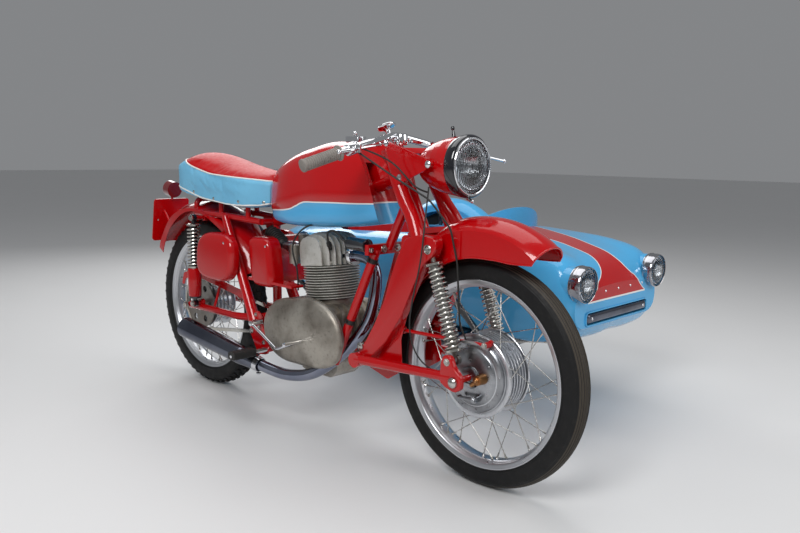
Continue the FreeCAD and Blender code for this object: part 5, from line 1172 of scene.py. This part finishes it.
def headlamp():
    """The headlamp's black band, beaded bright rim, reflector with its bulb, fluted glass, ear bolts and switch."""
    band = bmesh.new()
    spun(band, [(-0.016, 0.0790), (-0.016, 0.0806), (-0.012, 0.0822), (0.001, 0.0836), (0.008, 0.0834),
                (0.0125, 0.0815), (0.0150, 0.0785), (0.0155, 0.0762), (0.0100, 0.0755), (0.0006, 0.0755),
                (0.0006, 0.0790)], lamp_middle, axis_x, 72)
    piece("headlamp_black_rim", band, black_gloss, "steering", ["headlamp_rim"], sharp=40)
    bright = bmesh.new()
    spun(bright, [(0.0090, 0.0765), (0.0150, 0.0765), (0.0172, 0.0750), (0.0176, 0.0728), (0.0166, 0.0708),
                  (0.0120, 0.0704), (0.0090, 0.0712)], lamp_middle, axis_x, 72)
    for number in range(84):
        angle = whole_turn * number / 84
        place = lamp_middle + Vector((0.0174, math.cos(angle) * 0.0736, math.sin(angle) * 0.0736))
        ball(bright, place, 0.0017, 1)
    dish = [(0.0088, 0.0712), (0.0060, 0.0716), (0.0, 0.0690), (-0.0100, 0.0640), (-0.0240, 0.0540),
            (-0.0360, 0.0400), (-0.0440, 0.0240), (-0.0470, 0.0120), (-0.0475, 0.0080)]
    spun(bright, dish + [(run - 0.0012, max(radius - 0.0006, 0.0075)) for run, radius in reversed(dish)],
         lamp_middle, axis_x, 64)
    piece("headlamp_bright_rim_and_reflector", bright, chrome, "steering", sharp=40)
    bulb = bmesh.new()
    spun(bulb, [(-0.0500, 0.0), (-0.0500, 0.0100), (-0.0440, 0.0100), (-0.0430, 0.0075), (-0.0380, 0.0078),
                (-0.0300, 0.0095), (-0.0230, 0.0085), (-0.0180, 0.0045), (-0.0165, 0.0)], lamp_middle, axis_x, 24,
         closed=False)
    piece("headlamp_bulb", bulb, frosted_glass, "steering")
    glass = bmesh.new()
    outer = lens_outline(0.0118, 0.0135, 0.0702, 10)
    inner = [(run - 0.0026, radius * 0.985) for run, radius in reversed(outer)]
    spun(glass, outer + inner, lamp_middle, axis_x, 64, closed=False)
    piece("headlamp_fluted_glass", glass, fluted_glass, "steering", ["headlamp_lens"], sharp=60)
    metal = bmesh.new()
    for hand in (-1, 1):
        dome_nut(metal, at(1.1685, hand * 0.0975, 0.8515), axis_y * hand, 0.0100, 0.0070)
        bolt(metal, at(1.012, hand * 0.0936, 0.905), axis_y * hand, 0.011, 0.005)
        bolt(metal, at(1.062, hand * 0.0936, 0.815), axis_y * hand, 0.011, 0.005)
    bar(metal, at(1.222, 0, 0.764), at(1.238, 0, 0.757), 0.0040, sides=10)
    dome_nut(metal, at(1.238, 0, 0.757), axis_x, 0.0058, 0.005)
    piece("headlamp_bolts", metal, chrome, "steering")
    switch = bmesh.new()
    spun(switch, [(-0.004, 0.0), (-0.004, 0.0110), (0.001, 0.0105), (0.003, 0.0060), (0.020, 0.0030),
                  (0.022, 0.0048), (0.0262, 0.0056), (0.0300, 0.0040), (0.0310, 0.0)], at(1.172, 0, 0.9215),
         Vector((-0.22, 0, 1)), 20, closed=False)
    piece("headlamp_switch", switch, black_gloss, "steering")


def sidecar_lamps():
    """The two lamps on the sidecar's nose: smoked bright sleeves, reflectors and fluted glasses."""
    sleeve = bmesh.new()
    dishes = bmesh.new()
    glass = bmesh.new()
    for hand in (-1, 1):
        face = at(1.2765, tub_middle + hand * lamp_spread, 0.4780)
        tail = at(0.7800, tub_middle + hand * lamp_spread, 0.5001)
        along = (face - tail).normalized()
        spun(sleeve, [(-0.0300, 0.0562), (-0.0300, 0.0578), (-0.0270, 0.0592), (0.0000, 0.0600), (0.0060, 0.0588),
                      (0.0100, 0.0572), (0.0112, 0.0560), (0.0105, 0.0552), (0.0020, 0.0552), (0.0006, 0.0555),
                      (0.0006, 0.0562)], face, along, 56)
        spun(sleeve, [(-0.0215, 0.0590), (-0.0205, 0.0604), (-0.0190, 0.0604), (-0.0180, 0.0592)], face, along, 56)
        bolt(sleeve, face + axis_y * hand * -0.0590 - along * 0.012, axis_y * -hand, 0.007, 0.003)
        dish = [(0.0060, 0.0550), (0.0010, 0.0542), (-0.0090, 0.0485), (-0.0190, 0.0385), (-0.0270, 0.0245),
                (-0.0300, 0.0100), (-0.0305, 0.0)]
        spun(dishes, dish, face, along, 48, closed=False)
        spun(dishes, [(-0.031, 0.0), (-0.031, 0.0060), (-0.022, 0.0065), (-0.014, 0.0055), (-0.010, 0.0)], face,
             along, 16, closed=False)
        outer = lens_outline(0.0080, 0.0110, 0.0549, 8)
        inner = [(run - 0.0024, radius * 0.98) for run, radius in reversed(outer)]
        spun(glass, outer + inner, face, along, 56, closed=False)
    piece("sidecar_lamp_sleeves", sleeve, smoked_chrome, "chassis", ["sidecar_lamp_bezels"], sharp=40)
    piece("sidecar_lamp_reflectors", dishes, chrome, "chassis")
    piece("sidecar_lamp_glasses", glass, fluted_glass, "chassis", ["sidecar_lamp_lenses"], sharp=60)


def sidecar_trim():
    """The framed bar in the nose slot, its two screws and the row of small screws above it."""
    mesh = bmesh.new()
    part = bmesh.new()
    bmesh.ops.create_cube(part, size=1.0, matrix=Matrix.Translation(at(1.2535, tub_middle, 0.3595))
                          @ Matrix.Diagonal((0.0300, 0.398, 0.0330, 1.0)))
    rounded(part, part.edges[:], 0.0105, 5)
    add(mesh, part)
    piece("nose_bar", mesh, dark_chrome, "chassis", ["sidecar_grille"], sharp=50)
    lip = bmesh.new()
    rows = []
    for front, half_wide, half_high, corner in ((1.2600, 0.2085, 0.0240, 0.014), (1.2663, 0.2078, 0.0233, 0.0135),
                                                (1.2663, 0.2045, 0.0200, 0.011), (1.2600, 0.2038, 0.0193, 0.010)):
        row = []
        for turn, (side, up) in enumerate(((1, 1), (-1, 1), (-1, -1), (1, -1))):
            for step in range(7):
                angle = math.radians(90 * turn + 15 * step)
                across = tub_middle + side * (half_wide - corner) + corner * math.cos(angle)
                height = 0.3590 + up * (half_high - corner) + corner * math.sin(angle)
                row.append(lip.verts.new(at(front, across, height)))
        rows.append(row)
    for one, other in zip(rows, rows[1:] + rows[:1]):
        for number in range(len(one)):
            following = (number + 1) % len(one)
            lip.faces.new((one[number], one[following], other[following], other[number]))
    piece("nose_bar_frame", lip, blue_paint, "chassis", sharp=50)
    screws = bmesh.new()
    for side in (-0.17, -0.085, 0.0, 0.085, 0.17):
        dome_nut(screws, at(1.2621, tub_middle + side, 0.4400), axis_x, 0.0042, 0.0026)
    for side in (-0.175, 0.175):
        dome_nut(screws, at(1.2685, tub_middle + side, 0.3595), axis_x, 0.0055, 0.0030)
    piece("nose_screws", screws, chrome, "chassis")


# Controls
def controls():
    """The ribbed grips, levers with their perches, the clamp and the damper knob on the handlebar."""
    grips = bmesh.new()
    metal = bmesh.new()
    blades = bmesh.new()
    for hand in (-1, 1):
        inner = at(0.985, hand * 0.215, 0.884)
        outer = at(0.966, hand * 0.337, 0.846)
        along = (outer - inner).normalized()
        end = outer + along * 0.011
        start = end - along * 0.118
        outline = [(0, 0.0113), (0, 0.0205), (0.0035, 0.0215), (0.0055, 0.0190)]
        ribs = 15
        for number in range(ribs):
            run = 0.0070 + 0.0066 * number
            outline += [(run, 0.0150), (run + 0.0014, 0.0166), (run + 0.0042, 0.0166), (run + 0.0056, 0.0150)]
        outline += [(0.1085, 0.0160), (0.1130, 0.0176), (0.1165, 0.0170), (0.1180, 0.0140), (0.1180, 0.0)]
        spun(grips, outline + [(0.1100, 0.0), (0.1100, 0.0113)], start, along, 24)
        mount = at(0.983, hand * 0.195, 0.8886)
        perch = mount + Vector((0.0265, 0, 0))
        bar(metal, perch - axis_z * 0.010, perch + axis_z * 0.010, 0.0088, sides=14)
        dome_nut(metal, perch + axis_z * 0.010, axis_z, 0.0070, 0.004)
        tip = at(1.021, -0.272, 0.8795) if hand < 0 else at(1.074, 0.360, 0.8600)
        bend = at(1.034, hand * 0.232, 0.8850)
        smooth_tube(blades, [perch, at(1.024, hand * 0.212, 0.8880), bend, bend.lerp(tip, 0.5), tip], 0.0042, 4)
        ball(blades, tip, 0.0066, 2)
        spun(blades, [(-0.016, 0.0116), (-0.016, 0.0150), (-0.013, 0.0172), (0.013, 0.0172), (0.016, 0.0150),
                      (0.016, 0.0116)],
             mount, along, 24)
        bar(blades, mount + axis_x * 0.013, perch, 0.0062, sides=10)
        if hand < 0:
            knob_foot = at(0.990, -0.180, 0.905)
            bar(blades, knob_foot, at(0.984, -0.182, 0.926), 0.0032, sides=8)
            ball(blades, at(0.983, -0.182, 0.929), 0.0058, 2)
        rod_start = at(1.012, hand * 0.110, 0.899)
        smooth_tube(metal, [at(0.994, hand * 0.100, 0.905), rod_start, at(1.020, hand * 0.150, 0.897), perch],
                    0.0032, 3)
    piece("ribbed_grips", grips, grey_rubber, "steering", ["grips"], sharp=40)
    clamp = at(0.978, 0, 0.921)
    spun(metal, [(-0.020, 0.0), (-0.020, 0.0165), (-0.016, 0.0185), (0.008, 0.0185), (0.013, 0.0150), (0.013, 0.0)],
         clamp, axis_z, 24, closed=False)
    for hand in (-1, 1):
        bolt(metal, at(0.9855, hand * 0.030, 0.9105), axis_z, 0.011, 0.008)
    piece("handlebar_metal", metal, chrome, "steering", sharp=40)
    piece("lever_blades", blades, chrome, "steering", ["levers"], sharp=40)
    knob = bmesh.new()
    rake = math.radians(26.3)
    up = Vector((-math.sin(rake), 0, math.cos(rake)))
    top = at(1.390 - math.tan(rake) * 0.948, 0, 0.948)
    spun(knob, [(-0.070, 0.0), (-0.070, 0.0068), (-0.012, 0.0066), (-0.006, 0.0090), (-0.001, 0.0150),
                (0.001, 0.0240), (0.0040, 0.0272), (0.0065, 0.0276), (0.0085, 0.0262), (0.0092, 0.0230),
                (0.0080, 0.0160), (0.0074, 0.0080), (0.0084, 0.0050), (0.0090, 0.0)], top, up, 36, closed=False)
    piece("steering_damper_knob", knob, chrome, "steering", ["damper_knob"], sharp=40)


def cables():
    """The thin cables from the levers to the headlamp, and from the headlamp to the front wheel."""
    mesh = bmesh.new()
    smooth_tube(mesh, [at(1.150, -0.072, 0.792), at(1.172, -0.110, 0.700), at(1.176, -0.126, 0.600),
                       at(1.160, -0.140, 0.500), at(1.150, -0.142, 0.420), at(1.172, -0.132, 0.345),
                       at(1.225, -0.105, 0.306), at(1.300, -0.078, 0.296), at(1.318, -0.073, 0.294)], 0.0021)
    for hand in (-1, 1):
        smooth_tube(mesh, [at(1.006, hand * 0.175, 0.889), at(1.030, hand * 0.140, 0.874),
                           at(1.064, hand * 0.112, 0.850), at(1.100, hand * 0.104, 0.815),
                           at(1.128, hand * 0.092, 0.785), at(1.140, hand * 0.066, 0.778)], 0.0024)
    piece("thin_cables", mesh, black_rubber, "steering")


def fasteners():
    """Nuts, bolts, tube bands and other small fittings of the frame and fork."""
    turning = bmesh.new()
    mesh = bmesh.new()
    for hand in (-1, 1):
        gusset = at(1.185, hand * 0.1115, 0.633)
        spun(turning, [(-0.002, 0.0100), (-0.002, 0.0128), (0.0015, 0.0126), (0.0030, 0.0108), (0.0008, 0.0088),
                       (0.0008, 0.0)],
             gusset, axis_y * hand, 28, closed=False)
        bolt(turning, gusset + axis_y * hand * 0.0006, axis_y * hand, 0.012, 0.0055)
        bolt(turning, at(1.277, hand * 0.1330, 0.355), axis_y * hand, 0.013, 0.005)
        dome_nut(turning, at(1.300, hand * 0.1335, 0.307), axis_y * hand, 0.0140, 0.012)
        dome_nut(turning, at(0.936, hand * 0.1115, 0.330), axis_y * hand, 0.0120, 0.008)
        bolt(mesh, at(0.073, hand * 0.1330, 0.640), axis_y * hand, 0.015, 0.006)
        bolt(mesh, at(0.072, hand * 0.1330, 0.330), axis_y * hand, 0.015, 0.006)
        bolt(mesh, at(0, hand * 0.1165, 0.313), axis_y * hand, 0.020, 0.009)
        dome_nut(mesh, at(0.388, hand * 0.1002, 0.280), axis_y * hand, 0.0100, 0.005)
        for ahead, up in ((0.412, 0.338), (0.430, 0.300), (0.455, 0.250)):
            bolt(mesh, at(ahead, hand * 0.1002, up), axis_y * hand, 0.010, 0.0045)
        for side, size in ((0.028, 0.015), (0.080, 0.011)):
            bolt(mesh, at(0.9425, hand * side, 0.605), axis_x, size, 0.007)
    bolt(turning, at(1.349, -0.0735, 0.401), -axis_y, 0.011, 0.006)
    piece("fork_fasteners", turning, bolt_steel, "steering")
    piece("frame_fasteners", mesh, bolt_steel, "chassis")
    bands = bmesh.new()
    top, foot = at(0.935, -0.050, 0.605), at(0.790, -0.080, 0.245)
    for height in (0.572, 0.382):
        share = (0.605 - height) / (0.605 - 0.245)
        middle = top.lerp(foot, share)
        along = (foot - top).normalized()
        spun(bands, [(-0.007, 0.0140), (-0.007, 0.0154), (0.007, 0.0154), (0.007, 0.0140)], middle, along, 20)
        bar(bands, middle - axis_y * 0.014, middle - axis_y * 0.021, 0.0045, sides=8)
    piece("tube_bands", bands, black_rubber, "chassis")


# Seats, whose piping and hem follow these lines along the machine
seat_line = [(-0.10, 0.850), (-0.014, 0.843), (0.06, 0.822), (0.174, 0.799), (0.31, 0.790), (0.41, 0.785),
             (0.48, 0.778)]
seat_hem = [(-0.10, 0.757), (-0.06, 0.750), (0.02, 0.736), (0.12, 0.714), (0.28, 0.700), (0.36, 0.700),
            (0.43, 0.704), (0.48, 0.720)]


def swollen(name, node, voxel, limit, shrink):
    """A padded form: the node's shape remeshed and blown up as cloth, with its travel capped."""
    data = nodes[node].data.copy()
    data.name = name
    shape = bmesh.new()
    shape.from_mesh(data)
    bmesh.ops.remove_doubles(shape, verts=shape.verts, dist=1e-5)
    for vert in shape.verts:
        vert.co -= vert.normal * shrink
    shape.to_mesh(data)
    shape.free()
    data.materials.clear()
    thing = bpy.data.objects.new(name, data)
    bpy.context.collection.objects.link(thing)
    fine = thing.modifiers.new("remesh", "REMESH")
    fine.mode = "VOXEL"
    fine.voxel_size = voxel
    even = thing.modifiers.new("even", "SMOOTH")
    even.iterations = 3
    start = baked(thing)
    before = [vert.co.copy() for vert in start.vertices]
    cloth = thing.modifiers.new("cloth", "CLOTH")
    cloth.settings.quality = 6
    cloth.settings.mass = 0.3
    cloth.settings.use_pressure = True
    cloth.settings.uniform_pressure_force = 4.0
    cloth.settings.effector_weights.gravity = 0
    for number in range(1, 21):
        bpy.context.scene.frame_set(number)
    start = baked(thing)
    bpy.context.scene.frame_set(1)
    for vert, old in zip(start.vertices, before):
        move = vert.co - old
        if move.length > limit:
            vert.co = old + move * (limit / move.length)
    return thing


def baked(thing):
    """The object's mesh with its modifiers applied; they are taken off the object."""
    bpy.context.view_layer.update()
    seen = thing.evaluated_get(bpy.context.evaluated_depsgraph_get())
    data = bpy.data.meshes.new_from_object(seen)
    thing.modifiers.clear()
    thing.data = data
    return data


def finish_pad(thing, leather, node):
    """Smooths the padded form, gives it its leather and puts it in the node's place."""
    soft = thing.modifiers.new("soft", "SUBSURF")
    soft.levels = 1
    soft.render_levels = 1
    data = baked(thing)
    data.shade_smooth()
    data.materials.clear()
    data.materials.append(leather)
    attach(thing, "chassis")
    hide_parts(node)
    return data


def seat_paint():
    """Red leather above the piping and light blue leather below it."""
    material, tree, sockets = repainted(red_leather, "seat_leather")
    body, _, _ = two_tone(tree, seat_line, srgb(120, 188, 222), srgb(104, 172, 208), 0.0008)
    wire(tree, body, sockets["Base Color"])
    return material


pad_middle = 0.19


def loop_on(tree, heights, lift, count):
    """A ring of places on the pad's side at the heights of a line."""
    ring = []
    for number in range(count):
        angle = whole_turn * number / count
        way = Vector((math.cos(angle), math.sin(angle), 0))
        place = rear_axle.x + pad_middle
        for _ in range(4):
            height = height_on(heights, place - rear_axle.x)
            centre = Vector((rear_axle.x + pad_middle + 0.17 * way.x, rear_axle.y, height))
            hit, normal, _, _ = tree.ray_cast(centre + way * 0.6, -way)
            if hit is None:
                break
            place = hit.x
        if hit is not None:
            ring.append(hit + normal * lift)
    return ring


def seat():
    """The long seat: a blown up pad with piping along its edge and hem, and snap studs."""
    thing = swollen("long_seat", "seat", 0.0055, 0.006, 0.0025)
    data = finish_pad(thing, seat_paint(), "seat")
    tree = BVHTree.FromPolygons([vert.co.copy() for vert in data.vertices],
                                [tuple(face.vertices) for face in data.polygons])
    mesh = bmesh.new()
    for line in (seat_line, seat_hem):
        ring = loop_on(tree, line, 0.0006, 72)
        smooth_tube(mesh, ring + ring[:2], 0.0027, 3)
    piece("seat_piping", mesh, white_piping, "chassis")
    mesh = bmesh.new()
    for hand in (-1, 1):
        for ahead, up in ((0.0723, 0.7330), (0.1965, 0.7150), (0.335, 0.7110), (0.4350, 0.7130)):
            start = at(ahead, hand * 0.5, up)
            hit, normal, _, _ = tree.ray_cast(start, -axis_y * hand)
            if hit is not None:
                dome_nut(mesh, hit, normal, 0.0055, 0.0030)
    piece("seat_studs", mesh, bolt_steel, "chassis")


def sidecar_seat():
    """The passenger's cushion and backrest, with sewn channels."""
    thing = swollen("sidecar_pads", "sidecar_seat", 0.006, 0.007, 0.003)
    channel_pitch = 0.062
    channel_half = 0.006
    for vert in thing.data.vertices:
        phase = (vert.co.y - rear_axle.y - tub_middle) / channel_pitch
        groove = abs(phase - math.floor(phase) - 0.5) * channel_pitch
        if groove < channel_half and vert.normal.z > 0.25:
            vert.co -= vert.normal * 0.0035 * (1 - (groove / channel_half) ** 2)
    finish_pad(thing, red_leather, "sidecar_seat")


def tail_trim():
    """The bolts of the blank plate."""
    mesh = bmesh.new()
    low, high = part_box("plate_bracket")
    for hand in (-1, 1):
        dome_nut(mesh, Vector((low[0] + 0.0195, rear_axle.y + hand * 0.052, high[2] - 0.052)), -axis_x, 0.0050,
                 0.003)
    piece("plate_bolts", mesh, bolt_steel, "chassis", sharp=40)


# Plain finishes of the nodes
node_finishes = {
    red_paint: ["frame", "swing_arm", "fork", "leading_arms", "lamp_ears", "front_mudguard", "rear_mudguard",
                "plate_bracket", "tool_boxes", "chain_guard", "headlamp_shell"],
    brake_paint: ["front_brake_plate"],
    blue_paint: ["sidecar_mudguard", "sidecar_screen"],
    painted_tank: ["fuel_tank"],
    painted_tub: ["sidecar_tub"],
    chrome: ["handlebar", "levers", "damper_knob", "headlamp_rim", "filler_cap", "exhaust_pipe",
             "sidecar_lamp_bezels"],
    dark_chrome: ["silencer", "sidecar_grille"],
    spring_steel: ["rear_springs", "front_springs", "chain"],
    polished_alloy: ["front_rim", "rear_rim", "sidecar_rim", "front_hub", "rear_hub", "sidecar_hub"],
    cast_alloy: ["engine_cases", "cylinder", "carburettor"],
    steel: ["rear_sprocket", "front_shock_bodies"],
    black_rubber: ["foot_controls", "control_cables"],
    black_gloss: ["sidecar_chassis", "sidecar_struts", "ignition_coil", "rear_shock_bodies"],
    grey_rubber: ["grips"],
    tyre_rubber: ["front_tyre", "rear_tyre", "sidecar_tyre"],
    red_glass: ["tail_lamp"],
    lamp_glass: ["headlamp_lens", "sidecar_lamp_lenses"],
    red_leather: ["seat", "sidecar_seat"],
}


def dress_nodes():
    """Gives each node of the frame its finish."""
    for material, names in node_finishes.items():
        for name in names:
            shape = nodes[name]
            shape.data.materials.clear()
            shape.data.materials.append(material)


dress_nodes()
wheels()
front_brake()
suspension()
tool_boxes()
engine_dome()
cylinder_and_head()
carburettor_trim()
header()
fork_and_arms()
guard_beads()
foot_controls()
headlamp()
sidecar_lamps()
sidecar_trim()
controls()
cables()
fasteners()
seat()
sidecar_seat()
tail_trim()


# Floor and light
def plain_floor():
    """A pale flat floor."""
    mesh = bmesh.new()
    bmesh.ops.create_grid(mesh, x_segments=1, y_segments=1, size=30)
    data = bpy.data.meshes.new("floor")
    mesh.to_mesh(data)
    mesh.free()
    floor = bpy.data.objects.new("floor", data)
    bpy.context.collection.objects.link(floor)
    data.materials.append(finish("pale_floor", srgb(222, 222, 222), srgb(218, 218, 218), patches=0.2,
                                 patch_scale=0.4, grime=0.0, rough=(0.6, 0.7), rough_scale=4.0))


def soft_lamp(name, place, target, size, watts):
    """A soft square lamp aimed at a point."""
    data = bpy.data.lights.new(name, "AREA")
    data.shape = "SQUARE"
    data.size = size
    data.energy = watts
    lamp = bpy.data.objects.new(name, data)
    bpy.context.collection.objects.link(lamp)
    aim = (target - place).to_track_quat("-Z", "Y").to_matrix().to_4x4()
    lamp.matrix_world = Matrix.Translation(place) @ aim


def studio_light():
    """Soft light from above, from the camera's side and from behind, with an even grey sky."""
    heart = at(0.6, 0.3, 0.45)
    soft_lamp("key_lamp", at(2.2, -3.0, 3.2), heart, 1.6, 100)
    soft_lamp("side_lamp", at(4.2, 1.6, 2.2), heart, 2.6, 50)
    soft_lamp("top_lamp", at(0.2, 0.4, 3.6), heart, 3.0, 48)
    soft_lamp("back_lamp", at(-2.6, 1.8, 2.6), heart, 2.0, 40)
    sky = bpy.data.worlds.new("studio")
    sky.use_nodes = True
    sky.node_tree.nodes["Background"].inputs["Color"].default_value = (0.82, 0.84, 0.87, 1.0)
    sky.node_tree.nodes["Background"].inputs["Strength"].default_value = 0.28
    bpy.context.scene.world = sky


plain_floor()
studio_light()
